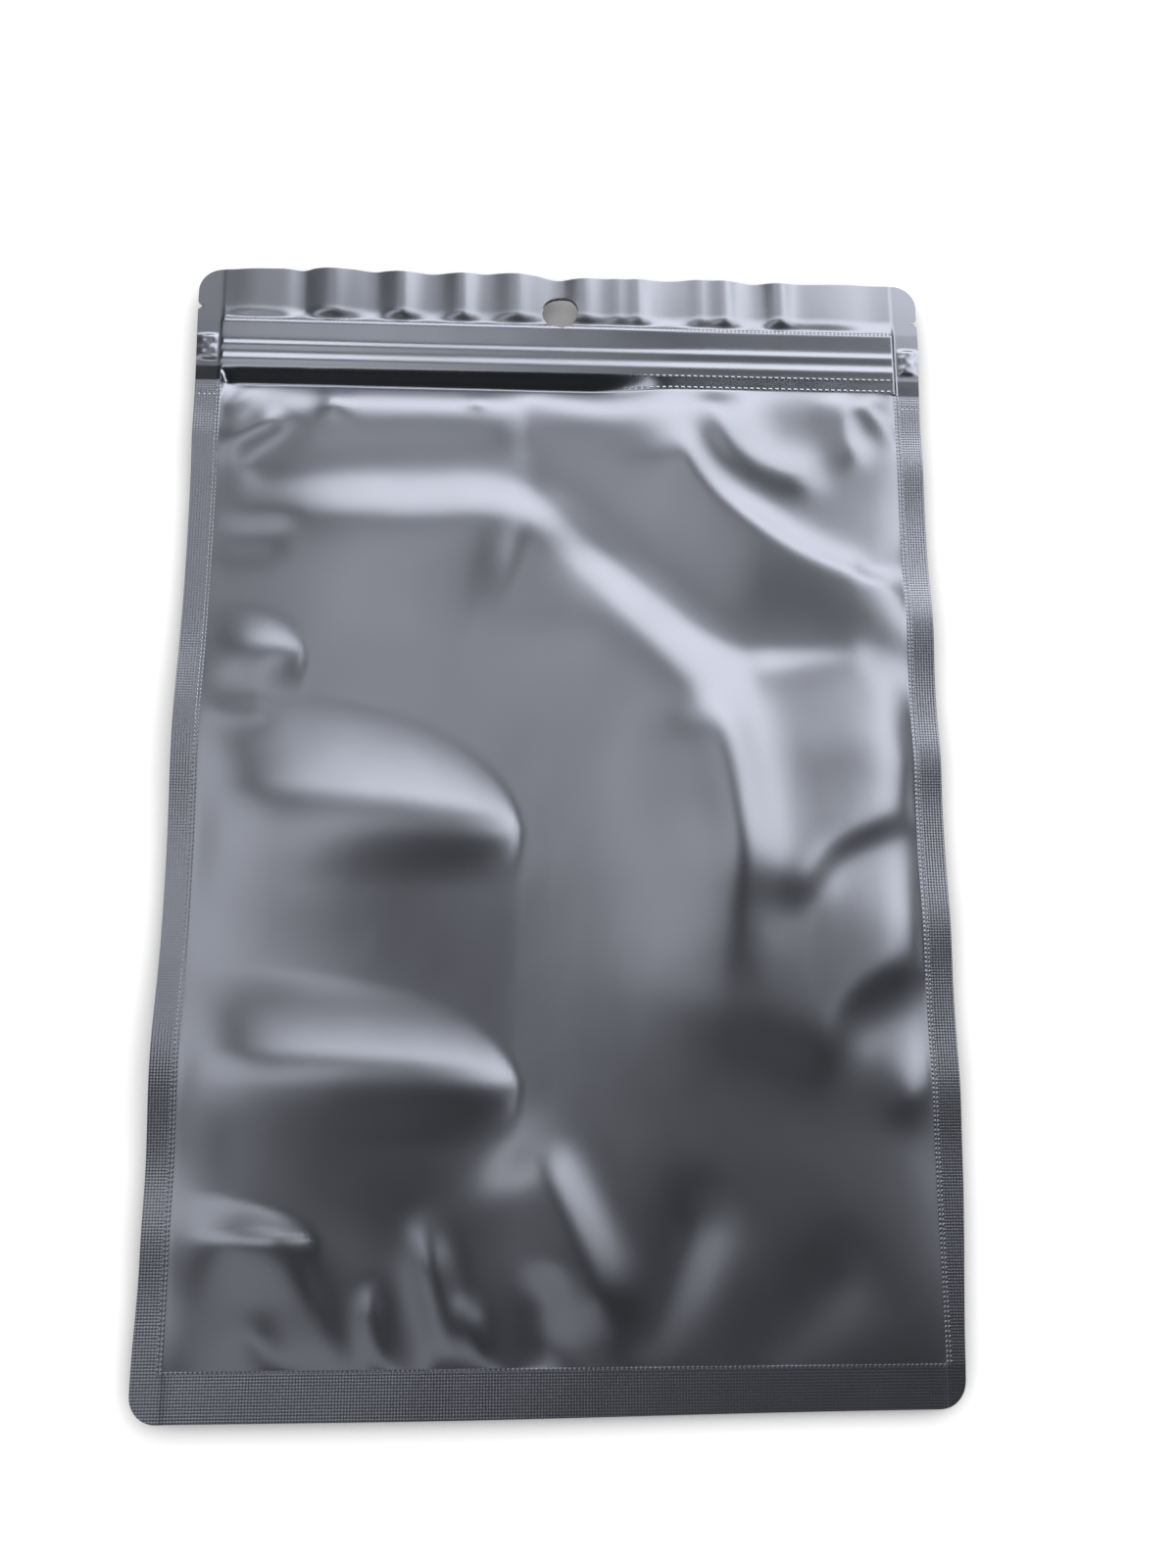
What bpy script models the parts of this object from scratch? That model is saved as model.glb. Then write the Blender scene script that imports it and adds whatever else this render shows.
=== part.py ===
"""A flat metallised zip pouch lying on its back, lightly filled with air.

The front and back films are welded along both sides and the bottom. The pocket below the zip is
closed. Above the zip the two plies part at the top edge, and a round hang hole goes through both.
Two press-to-close strips lie between the plies. Metres, +Z up, +Y toward the mouth.
"""

import math
from collections import namedtuple

import bmesh
import bpy
import numpy as np

MM = 0.001

# Driving sizes
BAG_WIDTH = 0.160
BAG_LENGTH = 0.240
CORNER_RADIUS = 0.0052
SIDE_SEAL = 0.0055
BOTTOM_SEAL = 0.0090
HEADER_LENGTH = 0.0125
ZIP_BAND = 0.0150
FILM = 0.00015
RIM_HEIGHT = 0.0042
RIM_SAG = 0.0009
BELLY_DEPTH = 0.0068
EDGE_RISE = 0.0005
CROWN_RISE = 0.0024
MOUTH_GAP = 0.0009
ZIP_CAVITY = 0.0013
ZIP_RIDGE_RISE = 0.00055
ZIP_RIDGE_PITCH = 0.0034
ZIP_LINE_FROM_BAND_TOP = 0.0080
ROLL_LENGTH = 0.0036
ROLL_DROP = 0.0016
ROLL_DROP_RIGHT = 0.0008
ROLL_DROP_BACK = 0.0009
FLUTE_HEIGHT = 0.0017
MOUTH_DROOP = 0.08
MOUTH_LIFT = 0.08
FOOT_DROOP = 0.06
WEB_THICKNESS = 0.0003
RIB_WIDTH = 0.0008
LIP_WIDTH = 0.0004
CLEARANCE = 0.0003
HANG_HOLE_DIAMETER = 0.0080
HANG_HOLE_X = -0.0004
HANG_HOLE_FROM_TOP = 0.0091
NICK_DEPTH = 0.0006
NOTCH_DEPTH = 0.0020
NOTCH_WIDTH = 0.0011
NOTCH_FROM_TOP = 0.0094
CORNER_PULL = 0.0021

# Grid columns, and grid rows of the bottom, the middle and the top of the pocket
BODY_COLUMNS = 42
BODY_ROWS = (10, 33, 11)
BODY_ENDS = 30.0

# The same sizes in millimetres, from the bag's centre, for the height formulas
HALF_W = BAG_WIDTH / 2 / MM
HALF_L = BAG_LENGTH / 2 / MM
SEAL_X = HALF_W - SIDE_SEAL / MM
SEAL_Y = -HALF_L + BOTTOM_SEAL / MM
ZIP_TOP = HALF_L - HEADER_LENGTH / MM
ZIP_BOTTOM = ZIP_TOP - ZIP_BAND / MM
RIM = RIM_HEIGHT / MM
PLY = FILM / MM
HALF_CAVITY = ZIP_CAVITY / 2 / MM
HALF_GAP = MOUTH_GAP / 2 / MM
ZIP_LINE = ZIP_TOP - ZIP_LINE_FROM_BAND_TOP / MM
RIDGE_ROWS = (ZIP_LINE + ZIP_RIDGE_PITCH / 2 / MM, ZIP_LINE - ZIP_RIDGE_PITCH / 2 / MM)
ROLL_TOP = ZIP_BOTTOM + ROLL_LENGTH / MM

# The pocket and the outline that the paths and places below are given for. They are stretched to
# the pocket and the outline that the driving sizes make.
FOLD_POCKET = (74.5, -111.0, 92.5)
WAVE_OUTLINE = (80.0, 120.0)

# Folds of the front film: path, rise, reach above and below the path, share of crease, how far the
# fold takes to grow and to fade, and the share of its reach left at its end. Millimetres.
Fold = namedtuple("Fold", "name path rise above below crease grow fade tip", defaults=(1.0,))
FOLDS = (
    Fold("long_crest", ((-76, 62.5), (-50, 60), (-30, 59), (-12, 59.5), (2, 49.5), (14, 36.5),
                        (24, 25), (30.5, 13), (33.5, 0), (34, -20), (31, -45), (24, -70)),
         2.7, 9, 13, 0.1, 8, 60),
    Fold("slant_valley", ((-13, 74), (-3, 65.5), (8, 55.5), (20, 44.5), (32, 35.5), (42, 33),
                          (56, 34), (78, 33)), -1.9, 12, 6.0, 0.15, 14, 4),
    Fold("top_trough", ((-74, 72), (-40, 71.5), (-14, 71.5), (2, 67)), -1.1, 9, 6.5, 0, 8, 8),
    Fold("zip_swell", ((-72, 82), (-40, 84), (-10, 84), (20, 83), (50, 80)), 1.0, 4.5, 8, 0, 14, 14),
    Fold("tall_ridge", ((29, 24), (33, 10), (35, -4), (35.5, -20), (33, -42)),
         1.3, 4.5, 8, 0.05, 12, 24),
    Fold("junction_ridge", ((39, 27.5), (52, 29), (68, 31)), 0.9, 3, 3, 0.1, 4, 6),
    Fold("under_crest_left", ((-77, 57), (-66, 56), (-54, 57)), -0.9, 3, 3.5, 0.1, 2, 8),
    Fold("upper_right_crest", ((24, 84), (26.5, 75), (32, 67), (40, 60), (50, 53), (62, 48),
                               (78, 43)), 2.4, 4, 9, 0.3, 8, 2),
    Fold("upper_right_inner", ((33.5, 92), (34, 85), (37.5, 78), (46, 72.5), (60, 69)),
         1.3, 4.5, 2.8, 0.3, 2, 10),
    Fold("left_nub_low", ((-75, 17.5), (-65, 16.5), (-59, 18)), 0.5, 3, 2, 0.1, 2, 3),
    Fold("corner_ridge", ((-60, -88), (-56, -95), (-52, -104), (-48, -114)),
         1.8, 4.5, 6, 0.1, 10, 1),
    Fold("low_mid_ridge", ((-12, -70), (-5, -78), (0, -88), (4, -99), (5, -110)),
         3.2, 5.5, 9, 0.1, 14, 6),
    Fold("right_fold_high", ((80, 3), (64, -1.5), (52, -8), (45, -18), (43, -26)),
         2.8, 4.5, 18, 0.05, 3, 12),
    Fold("right_fold_low", ((80, -29), (64, -33), (53, -41), (48, -53), (46, -60)),
         3.0, 5, 18, 0.05, 3, 14),
    Fold("right_fold_last", ((80, -56), (70, -60), (64, -64)), 1.3, 3.5, 6, 0.2, 2, 6),
    Fold("low_valley_inner", ((32, -74), (25, -87), (15, -112)), -2.0, 5.5, 4.5, 0.1, 14, 3),
    Fold("low_valley_outer", ((62, -88), (52, -98), (40, -114)), -1.8, 6, 6, 0.1, 12, 3),
    Fold("hollow_under_crest", ((-7.5, 58), (-9, 48), (-12, 28)), -1.4, 5.5, 5.5, 0.1, 8, 24),
    Fold("hollow_under_zip", ((-8.5, 90), (-8.5, 84), (-7, 68)), -1.0, 4.5, 4.5, 0.2, 4, 14),
    Fold("pucker_far_left", ((-68, 93), (-70, 89), (-75, 85)), 0.8, 2, 2, 0.4, 1, 3),
    Fold("pucker_left_corner", ((-60, 84), (-68, 80), (-76, 76)), 1.1, 2.4, 3.0, 0.4, 4, 1),
    Fold("pucker_left_low", ((-54, 82), (-62, 78), (-70, 71)), -0.5, 3, 2.5, 0.3, 5, 3),
    Fold("pucker_left", ((-50, 92), (-49.5, 88), (-51, 82)), 1.3, 3.0, 2.6, 0.4, 1, 5),
    Fold("dimple_left", ((-19, 92), (-18.5, 89), (-19, 86)), 0.5, 1.6, 1.6, 0.3, 1, 2),
    Fold("pucker_far_right", ((62, 92), (62, 88), (63, 80), (68, 74)), 1.0, 2.6, 3.2, 0.4, 1, 6),
    Fold("pucker_right_corner", ((66, 91), (70, 86), (76, 81)), 1.0, 1.8, 1.8, 0.4, 2, 1),
    Fold("pucker_right_top", ((68, 92), (72, 90), (76, 89)), 0.5, 1.2, 1.2, 0.4, 1, 1),
    Fold("right_edge_dent", ((78, 56), (70, 52), (62, 51)), -0.6, 2.5, 2.5, 0.2, 1, 5),
    Fold("bottom_gather_1", ((-59, -99), (-56.5, -105), (-52, -114)), 0.9, 2.2, 2.2, 0.1, 7, 1),
    Fold("bottom_gather_2", ((-36, -93), (-35.5, -103), (-33.5, -114)), 1.6, 2.1, 2.2, 0.1, 9, 1),
    Fold("bottom_gather_3", ((-27, -80), (-24.5, -92), (-22, -103), (-21, -114)),
         2.3, 3.0, 3.2, 0.1, 14, 1),
    Fold("bottom_gather_4", ((-17.5, -96), (-16.5, -105), (-14, -114)), 1.4, 2.2, 2.6, 0.1, 8, 1),
    Fold("bottom_gather_5", ((0, -86), (1.5, -97), (2, -114)), 1.9, 3.5, 3.2, 0.1, 10, 1),
)

# Tongues of film that swell from the left weld: root, tip, crest line, rise, reach toward the
# mouth and toward the foot, and the share of the rise kept down to LOBES_END. Millimetres.
Lobe = namedtuple("Lobe", "name root tip crest rise north south kept")
LOBES = (
    Lobe("left_nub", -80, -53, 29, 2.3, 13, 3.5, 0),
    Lobe("left_lobe", -84, -8.5, -8, 6.4, 30, 13, 0.6),
    Lobe("second_lobe", -86, -8.5, -58.5, 6.3, 22, 13, 0.55),
    Lobe("corner_lobe", -82, -50, -89, 4.2, 13, 12, 0.2),
)
LOBES_END = -104.0

# Flutes of the header: place across the width, share of the flute height and half-width.
FLUTES = (
    (-72, 0.3, 7), (-57.6, -0.45, 2.6), (-51.5, 0.6, 3.4), (-42, -0.3, 3), (-36, 0.65, 2.8),
    (-29, -0.25, 3), (-22.5, 0.5, 2.4), (-17, -0.2, 2.6), (-10.5, 0.5, 3), (-1, -0.35, 3.5),
    (4.5, 0.5, 3.2), (12.5, 0.3, 1.8), (17, 0.4, 2.0), (24, -0.3, 4), (31, 0.3, 1.8),
    (36.5, 0.5, 2.4), (43.5, -0.3, 3.2), (49, 0.65, 2.8), (60, 0.1, 6), (73, -0.3, 6),
)

# Waves of the side seals along the length: place, rise and half-length. Millimetres.
LEFT_WAVES = ((81, 1.1, 8), (14, 2.2, 18), (-53, 2.5, 16), (-86, 0.8, 8))
RIGHT_WAVES = ((76, 0.9, 8), (39, 1.5, 9), (9, 1.0, 7), (-26, 0.9, 9), (-58, 0.8, 8))


def smooth(start, end, value):
    """Eased step from 0 at start to 1 at end."""
    part = np.clip((value - start) / (end - start), 0, 1)
    return part * part * (3 - 2 * part)


def in_pocket(x, y):
    """A place of the pouch as a place of the pocket that the folds are given for."""
    half, low, top = FOLD_POCKET
    return x * half / SEAL_X, low + (y - SEAL_Y) * (top - low) / (ZIP_BOTTOM - SEAL_Y)


def bumps(value, items):
    return sum(rise * np.exp(-(((value - place) / reach) ** 2)) for place, rise, reach in items)


def eased(distance, scale):
    """0 at a weld, growing to 1 over about twice the scale."""
    return 1 - np.exp(-np.clip(distance, 0, None) / scale)


def curve_through(points, step=1.5):
    """Points of a smooth curve through the given ones."""
    p = np.array(points, float)
    ends = np.vstack([2 * p[0] - p[1], p, 2 * p[-1] - p[-2]])
    runs = []
    for a, b, c, d in zip(ends, ends[1:], ends[2:], ends[3:]):
        count = max(2, int(np.hypot(*(c - b)) / step))
        t = np.linspace(0, 1, count, endpoint=False)[:, None]
        runs.append(0.5 * (2 * b + (c - a) * t + (2 * a - 5 * b + 4 * c - d) * t * t
                           + (3 * b - a - 3 * c + d) * t**3))
    return np.vstack(runs + [p[-1:]])


def fold_height(x, y, fold):
    """Height that one fold adds at each point."""
    x, y = in_pocket(x, y)
    q = curve_through(fold.path)
    run = np.r_[0, np.cumsum(np.hypot(*np.diff(q, axis=0).T))]
    step = np.gradient(run)
    along = np.gradient(q, axis=0)
    along /= np.hypot(*along.T)[:, None]
    wide = max(fold.above, fold.below)
    blur = min(3.0, max(0.8, 0.35 * wide))
    rises = fold.rise * smooth(-0.01, fold.grow, run) * smooth(-0.01, fold.fade, run[-1] - run)
    dx = x[:, None] - q[:, 0]
    dy = y[:, None] - q[:, 1]
    share = step * np.exp(-(dx * dx + dy * dy) / (2 * blur * blur)) + 1e-300
    total = share.sum(axis=1)
    side = (share * (along[:, 0] * dy - along[:, 1] * dx)).sum(axis=1) / total
    rise = (share * rises).sum(axis=1) / total
    taper = (share * (1 + (fold.tip - 1) * (run / run[-1]) ** 3)).sum(axis=1) / total
    near = np.log(total / (math.sqrt(2 * math.pi) * blur))
    d = np.sqrt(np.clip(-2 * blur * blur * near, 0, None))
    above = fold.above * taper
    reach = fold.below + (above - fold.below) * smooth(-0.5, 0.5, side / (d + 0.5 * wide))
    soft = np.exp(-0.5 * (d / reach) ** 2)
    creased = np.exp(-(np.sqrt(d * d + 0.6) - 0.775) / (0.8 * reach))
    return rise * ((1 - fold.crease) * soft + fold.crease * creased)


def middle_height(x, y):
    """Height of the weld plane, which sags and waves along the sides and flutes in the header."""
    body = smooth(ZIP_BOTTOM - 1, ZIP_BOTTOM - 16, y)
    edge = np.clip(np.abs(x) / HALF_W, 0, 1)
    place = in_pocket(x, y)[1]
    wave = np.where(x < 0, bumps(place, LEFT_WAVES), bumps(place, RIGHT_WAVES)) * edge**3
    ends = smooth(-HALF_L, -HALF_L + 16, y)
    head = smooth(ZIP_TOP + 0.1, ZIP_TOP + 2.2, y) * smooth(SEAL_X + 2, SEAL_X - 8, np.abs(x))
    lift = FLUTE_HEIGHT / MM * (0.75 + 0.25 * (y - ZIP_TOP) / (HEADER_LENGTH / MM))
    across = x * WAVE_OUTLINE[0] / HALF_W
    curl = MOUTH_LIFT * smooth(10, -35, across) - MOUTH_DROOP * smooth(-10, 35, across)
    foot = FOOT_DROOP * smooth(-30, 50, across) * np.clip(SEAL_Y - y, 0, None)
    return (RIM - RIM_SAG / MM * body + body * ends * wave
            + curl * np.clip(y - ZIP_TOP, 0, None) - foot
            + head * (0.25 + bumps(across, FLUTES) * lift))


def half_gap(x, y):
    """Half the space between the two plies from the zip up to the mouth."""
    mouth = HALF_GAP * (0.75 + 0.25 * smooth(SEAL_X, 0, np.abs(x)))
    return HALF_CAVITY + (mouth - HALF_CAVITY) * smooth(ZIP_TOP, ZIP_TOP + 3.5, y)


def zip_outside(x, y):
    """Film height above the weld plane over the zip, with its two ridges and crushed ends."""
    ridges = sum(ZIP_RIDGE_RISE / MM * np.exp(-(((y - row) / 0.85) ** 2)) for row in RIDGE_ROWS)
    ends = smooth(SEAL_X + 0.6, SEAL_X - 0.1, np.abs(x))
    return (half_gap(x, y) + PLY + ridges) * ends + (1 - ends) * 2.4 * PLY


def ramp(part, soft=0.42):
    """Step from 0 to 1 that falls away round its start and runs out slowly at its end."""
    left = 1 - np.clip(part, 0, 1)
    rising = left * left / (1 - soft)
    rounded = 1 - (1 - left) ** 2 / soft
    return 1 - np.where(left < 1 - soft, rising, rounded)


def lobe_height(x, y, lobe):
    """Height that one lobe adds at each point."""
    x, y = in_pocket(x, y)
    share = np.clip((x - lobe.root) / (lobe.tip - lobe.root), 0, 1)
    full = np.clip(1 - share**3, 1e-6, 1)
    beyond, before = np.clip(y - lobe.crest, 0, None), np.clip(lobe.crest - y, 0, None)
    kept = lobe.kept * smooth(LOBES_END, lobe.crest - 15, y)
    north = 1 - ramp(beyond / (lobe.north * full**0.5))
    south = kept + (1 - kept) * np.exp(-0.5 * (before / (lobe.south * (1 + 0.7 * share))) ** 2)
    bent = 0.8 + 0.9 * smooth(0, 12, before)
    return lobe.rise * full**bent * np.where(beyond > 0, north, south)


def roll_share(y):
    """How far the film has rolled down below the zip, from 0 to 1."""
    part = np.clip((ROLL_TOP - y) / (ROLL_LENGTH / MM), 0, 1)
    return 0.7 * part + 0.3 * part * part * (3 - 2 * part)


def front_height(x, y):
    side, low, top = SEAL_X - np.abs(x), y - SEAL_Y, ZIP_BOTTOM - y
    weld = eased(side, 4.2) * eased(low, 4.0) * eased(top, 3.0)
    crown = (EDGE_RISE / MM * eased(side, 2.2) * eased(low, 2.2) * eased(top, 5.0)
             + CROWN_RISE / MM * eased(side, 17) * eased(low, 22) * eased(top, 13))
    folds = sum(fold_height(x, y, fold) for fold in FOLDS)
    folds = folds + sum(lobe_height(x, y, lobe) for lobe in LOBES)
    drop = (ROLL_DROP + (ROLL_DROP_RIGHT - ROLL_DROP) * smooth(6, 26, x)) / MM
    loose = eased(side, 0.8)
    at_zip = (HALF_CAVITY + PLY - drop) * loose
    body = (middle_height(x, y) + PLY * (2 - loose) + crown + weld * folds
            + at_zip * np.exp(-np.clip(top, 0, None) / 5.0))
    head = middle_height(x, y) + zip_outside(x, y) - roll_share(y) * (drop - PLY) * loose
    return np.where(y > ZIP_BOTTOM - 0.05, head, body)


def back_height(x, y):
    side, low, top = SEAL_X - np.abs(x), y - SEAL_Y, ZIP_BOTTOM - y
    belly = BELLY_DEPTH / MM * eased(side, 15) * eased(low, 17) * eased(top, 15)
    drop = ROLL_DROP_BACK / MM
    loose = eased(side, 0.8)
    at_zip = (HALF_CAVITY + drop) * loose
    body = np.maximum(middle_height(x, y) - PLY - belly
                      - at_zip * np.exp(-np.clip(top, 0, None) / 5.0), 0.0)
    head = middle_height(x, y) - zip_outside(x, y) - roll_share(y) * drop * loose
    return np.where(y > ZIP_BOTTOM - 0.05, head, body)


def collection_named(name):
    made = bpy.data.collections.new(name)
    bpy.context.scene.collection.children.link(made)
    return made


def material_named(name, colour, roughness, metallic):
    made = bpy.data.materials.new(name)
    made.use_nodes = True
    surface = made.node_tree.nodes["Principled BSDF"]
    surface.inputs["Base Color"].default_value = (*colour, 1)
    surface.inputs["Roughness"].default_value = roughness
    surface.inputs["Metallic"].default_value = metallic
    return made


def put_in(obj, collection):
    for old in list(obj.users_collection):
        old.objects.unlink(obj)
    collection.objects.link(obj)


def slab_between(name, columns, rows, upper, lower, collection):
    """A closed slab on a grid of columns and rows, with its two faces set by height formulas."""
    nx, ny = len(columns) - 1, len(rows) - 1
    bpy.ops.mesh.primitive_grid_add(x_subdivisions=nx, y_subdivisions=ny, size=2)
    slab = bpy.context.object
    slab.name = slab.data.name = name
    put_in(slab, collection)
    bm = bmesh.new()
    bm.from_mesh(slab.data)
    made = bmesh.ops.extrude_face_region(bm, geom=bm.faces[:])
    raised = {v for v in made["geom"] if isinstance(v, bmesh.types.BMVert)}
    verts = list(bm.verts)
    x = np.array([columns[round((v.co.x + 1) / 2 * nx)] for v in verts])
    y = np.array([rows[round((v.co.y + 1) / 2 * ny)] for v in verts])
    top, bottom = upper(x, y), lower(x, y)
    for i, v in enumerate(verts):
        z = top[i] if v in raised else bottom[i]
        v.co = (x[i] * MM, y[i] * MM, float(z) * MM)
    bmesh.ops.recalc_face_normals(bm, faces=bm.faces[:])
    bm.to_mesh(slab.data)
    bm.free()
    return slab


def outline_points():
    """The pouch's cut edge, counter-clockwise, with round corners, a soft wave and tear notches."""
    r = CORNER_RADIUS / MM
    pull = CORNER_PULL / MM
    notch_y = HALF_L - NOTCH_FROM_TOP / MM
    depth, half = NOTCH_DEPTH / MM, NOTCH_WIDTH / 2 / MM

    def corner(cx, cy, start):
        turns = [math.radians(start + 90 * k / 8) for k in range(9)]
        return [(cx + r * math.cos(a), cy + r * math.sin(a)) for a in turns]

    wide, high = WAVE_OUTLINE[0] / HALF_W, WAVE_OUTLINE[1] / HALF_L

    def right_edge(y):
        v = y * high
        return HALF_W - pull * smooth(-55, -118, v) ** 1.5 + 0.5 * smooth(88, 108, v)

    def left_edge(y):
        v = y * high
        return (-HALF_W - 0.4 * smooth(90, 112, v) - 0.5 * smooth(-88, -112, v)
                + 0.3 * smooth(92, 50, v))

    low_right = (right_edge(-HALF_L + r) - r, -HALF_L + r + 0.9)
    points = corner(low_right[0], low_right[1], -90)
    points += [(right_edge(y), y) for y in np.linspace(-HALF_L + r + 6, notch_y - 4, 22)]
    edge = right_edge(notch_y)
    points += [(edge, notch_y - half), (edge - depth, notch_y), (edge, notch_y + half)]
    points += corner(HALF_W + 0.5 - r, HALF_L - r - 0.2, 0)
    hole = HANG_HOLE_X / MM
    for x in np.linspace(HALF_W - r - 5, -HALF_W + r + 5, 30):
        dip = 0.8 * math.exp(-(((x - hole) / 5) ** 2)) + 0.25 * (1 + math.sin(x * wide / 6.5))
        points.append((x, HALF_L - dip * 0.9))
    points += corner(-HALF_W - 0.4 + r, HALF_L - r - 0.7, 90)
    edge = left_edge(notch_y)
    points += [(edge, notch_y + half), (edge + depth, notch_y), (edge, notch_y - half)]
    points += [(left_edge(y), y) for y in np.linspace(notch_y - 4, -HALF_L + r + 6, 22)]
    points += corner(-HALF_W - 0.5 + r, -HALF_L + r, 180)
    points += [(x, -HALF_L + 0.9 * smooth(-40, 75, x * wide))
               for x in np.linspace(-HALF_W + 20, HALF_W - 20, 9)]
    return [(float(x), float(y)) for x, y in points]


def prism_from(name, points, half_height, middle, collection):
    """A closed prism from a flat outline in millimetres, made a mesh so that it can cut."""
    curve = bpy.data.curves.new(name + "_curve", "CURVE")
    curve.dimensions = "2D"
    curve.fill_mode = "BOTH"
    curve.extrude = half_height
    spline = curve.splines.new("POLY")
    spline.points.add(len(points) - 1)
    for point, (x, y) in zip(spline.points, points):
        point.co = (x * MM, y * MM, 0, 1)
    spline.use_cyclic_u = True
    guide = bpy.data.objects.new(name + "_guide", curve)
    bpy.context.scene.collection.objects.link(guide)
    bpy.context.view_layer.update()
    graph = bpy.context.evaluated_depsgraph_get()
    mesh = bpy.data.meshes.new_from_object(guide.evaluated_get(graph))
    bpy.data.objects.remove(guide)
    bm = bmesh.new()
    bm.from_mesh(mesh)
    bmesh.ops.remove_doubles(bm, verts=bm.verts[:], dist=0.000001)
    bmesh.ops.translate(bm, verts=bm.verts[:], vec=(0, 0, middle))
    bmesh.ops.recalc_face_normals(bm, faces=bm.faces[:])
    bm.to_mesh(mesh)
    bm.free()
    prism = bpy.data.objects.new(name, mesh)
    collection.objects.link(prism)
    return prism


def box_between(name, low, high, collection):
    """A box from one corner to the other, metres."""
    bpy.ops.mesh.primitive_cube_add(size=1)
    box = bpy.context.object
    box.name = box.data.name = name
    put_in(box, collection)
    for v in box.data.vertices:
        v.co = [high[k] if v.co[k] > 0 else low[k] for k in range(3)]
    return box


def boolean(target, cutter, operation):
    modifier = target.modifiers.new(operation.title() + "_" + cutter.name, "BOOLEAN")
    modifier.operation = operation
    modifier.solver = "EXACT"
    modifier.object = cutter
    cutter.hide_render = True
    cutter.display_type = "WIRE"


def grid_columns():
    inner = np.linspace(-SEAL_X, SEAL_X, BODY_COLUMNS + 1)
    return np.r_[-HALF_W - 2, -HALF_W + 2.4, inner, HALF_W - 2.4, HALF_W + 2]


def zip_rows():
    upper, lower = RIDGE_ROWS
    between = (upper + lower) / 2
    return [lower - 1.0, lower, between, upper, upper + 1.25, ZIP_TOP - 2.3]


def roll_rows():
    return list(np.linspace(ZIP_BOTTOM, ROLL_TOP, 4)[1:])


def head_rows():
    return [ZIP_TOP, ZIP_TOP + 1.6, ZIP_TOP + 4.2, ZIP_TOP + 8, HALF_L + 2]


def make_envelope(parts, cutters):
    columns = grid_columns()
    low, middle, top = BODY_ROWS
    body = np.r_[np.linspace(SEAL_Y, SEAL_Y + BODY_ENDS, low + 1)[:-1],
                 np.linspace(SEAL_Y + BODY_ENDS, ZIP_BOTTOM - BODY_ENDS, middle + 1)[:-1],
                 np.linspace(ZIP_BOTTOM - BODY_ENDS, ZIP_BOTTOM, top + 1)]
    rows = np.r_[-HALF_L - 2, -HALF_L + 4, body, roll_rows(), zip_rows(), head_rows()]
    pouch = slab_between("pouch_envelope", columns, rows, front_height, back_height, parts)

    cut_edge = prism_from("cut_edge", outline_points(), 0.03, 0.0, cutters)
    boolean(pouch, cut_edge, "INTERSECT")

    hole_y = BAG_LENGTH / 2 - HANG_HOLE_FROM_TOP
    bpy.ops.mesh.primitive_cylinder_add(
        vertices=32, radius=HANG_HOLE_DIAMETER / 2, depth=0.03,
        location=(HANG_HOLE_X, hole_y, RIM_HEIGHT))
    hole = bpy.context.object
    hole.name = "hang_hole_cutter"
    put_in(hole, cutters)
    boolean(pouch, hole, "DIFFERENCE")

    low = hole_y - HANG_HOLE_DIAMETER / 2
    x0 = HANG_HOLE_X + 0.0008
    nick_points = ((x0 - 0.0009, low + 0.0006), (x0, low - NICK_DEPTH), (x0 + 0.0009, low + 0.0006))
    nick = prism_from("hang_hole_nick", [(x / MM, y / MM) for x, y in nick_points],
                      0.015, RIM_HEIGHT, cutters)
    boolean(pouch, nick, "DIFFERENCE")

    inner = columns[2:-2]
    slot_rows = np.r_[ROLL_TOP, zip_rows(), head_rows()]
    slot = slab_between(
        "mouth_slot", inner, slot_rows,
        lambda x, y: middle_height(x, y) + half_gap(x, y),
        lambda x, y: middle_height(x, y) - half_gap(x, y), cutters)
    boolean(pouch, slot, "DIFFERENCE")

    flat = pouch.modifiers.new("MergeFlatFaces", "DECIMATE")
    flat.decimate_type = "DISSOLVE"
    flat.angle_limit = math.radians(0.25)
    return pouch


def make_zip(parts, cutters):
    """Two strips: the front one carries two ribs, the back one two grooves between lips."""
    half = SEAL_X * MM - CLEARANCE
    y0 = ROLL_TOP * MM + CLEARANCE
    y1 = ZIP_TOP * MM - CLEARANCE
    outer = HALF_CAVITY * MM
    inner = outer - WEB_THICKNESS
    rib = box_between("zip_rib_strip", (-half, y0, RIM_HEIGHT + inner),
                      (half, y1, RIM_HEIGHT + outer), parts)
    groove = box_between("zip_groove_strip", (-half, y0, RIM_HEIGHT - outer),
                         (half, y1, RIM_HEIGHT - inner), parts)
    for n, row in enumerate(RIDGE_ROWS):
        line = row * MM
        tip = box_between(f"rib_{n}", (-half + 0.0005, line - RIB_WIDTH / 2, RIM_HEIGHT - inner + CLEARANCE),
                          (half - 0.0005, line + RIB_WIDTH / 2, RIM_HEIGHT + inner + 0.0001), cutters)
        boolean(rib, tip, "UNION")
        for side in (-1, 1):
            near = line + side * (RIB_WIDTH / 2 + CLEARANCE)
            far = near + side * LIP_WIDTH
            lip = box_between(
                f"lip_{n}_{side + 1}",
                (-half + 0.0005, min(near, far), RIM_HEIGHT - inner - 0.0001),
                (half - 0.0005, max(near, far), RIM_HEIGHT + inner - CLEARANCE), cutters)
            boolean(groove, lip, "UNION")
    return rib, groove


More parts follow.
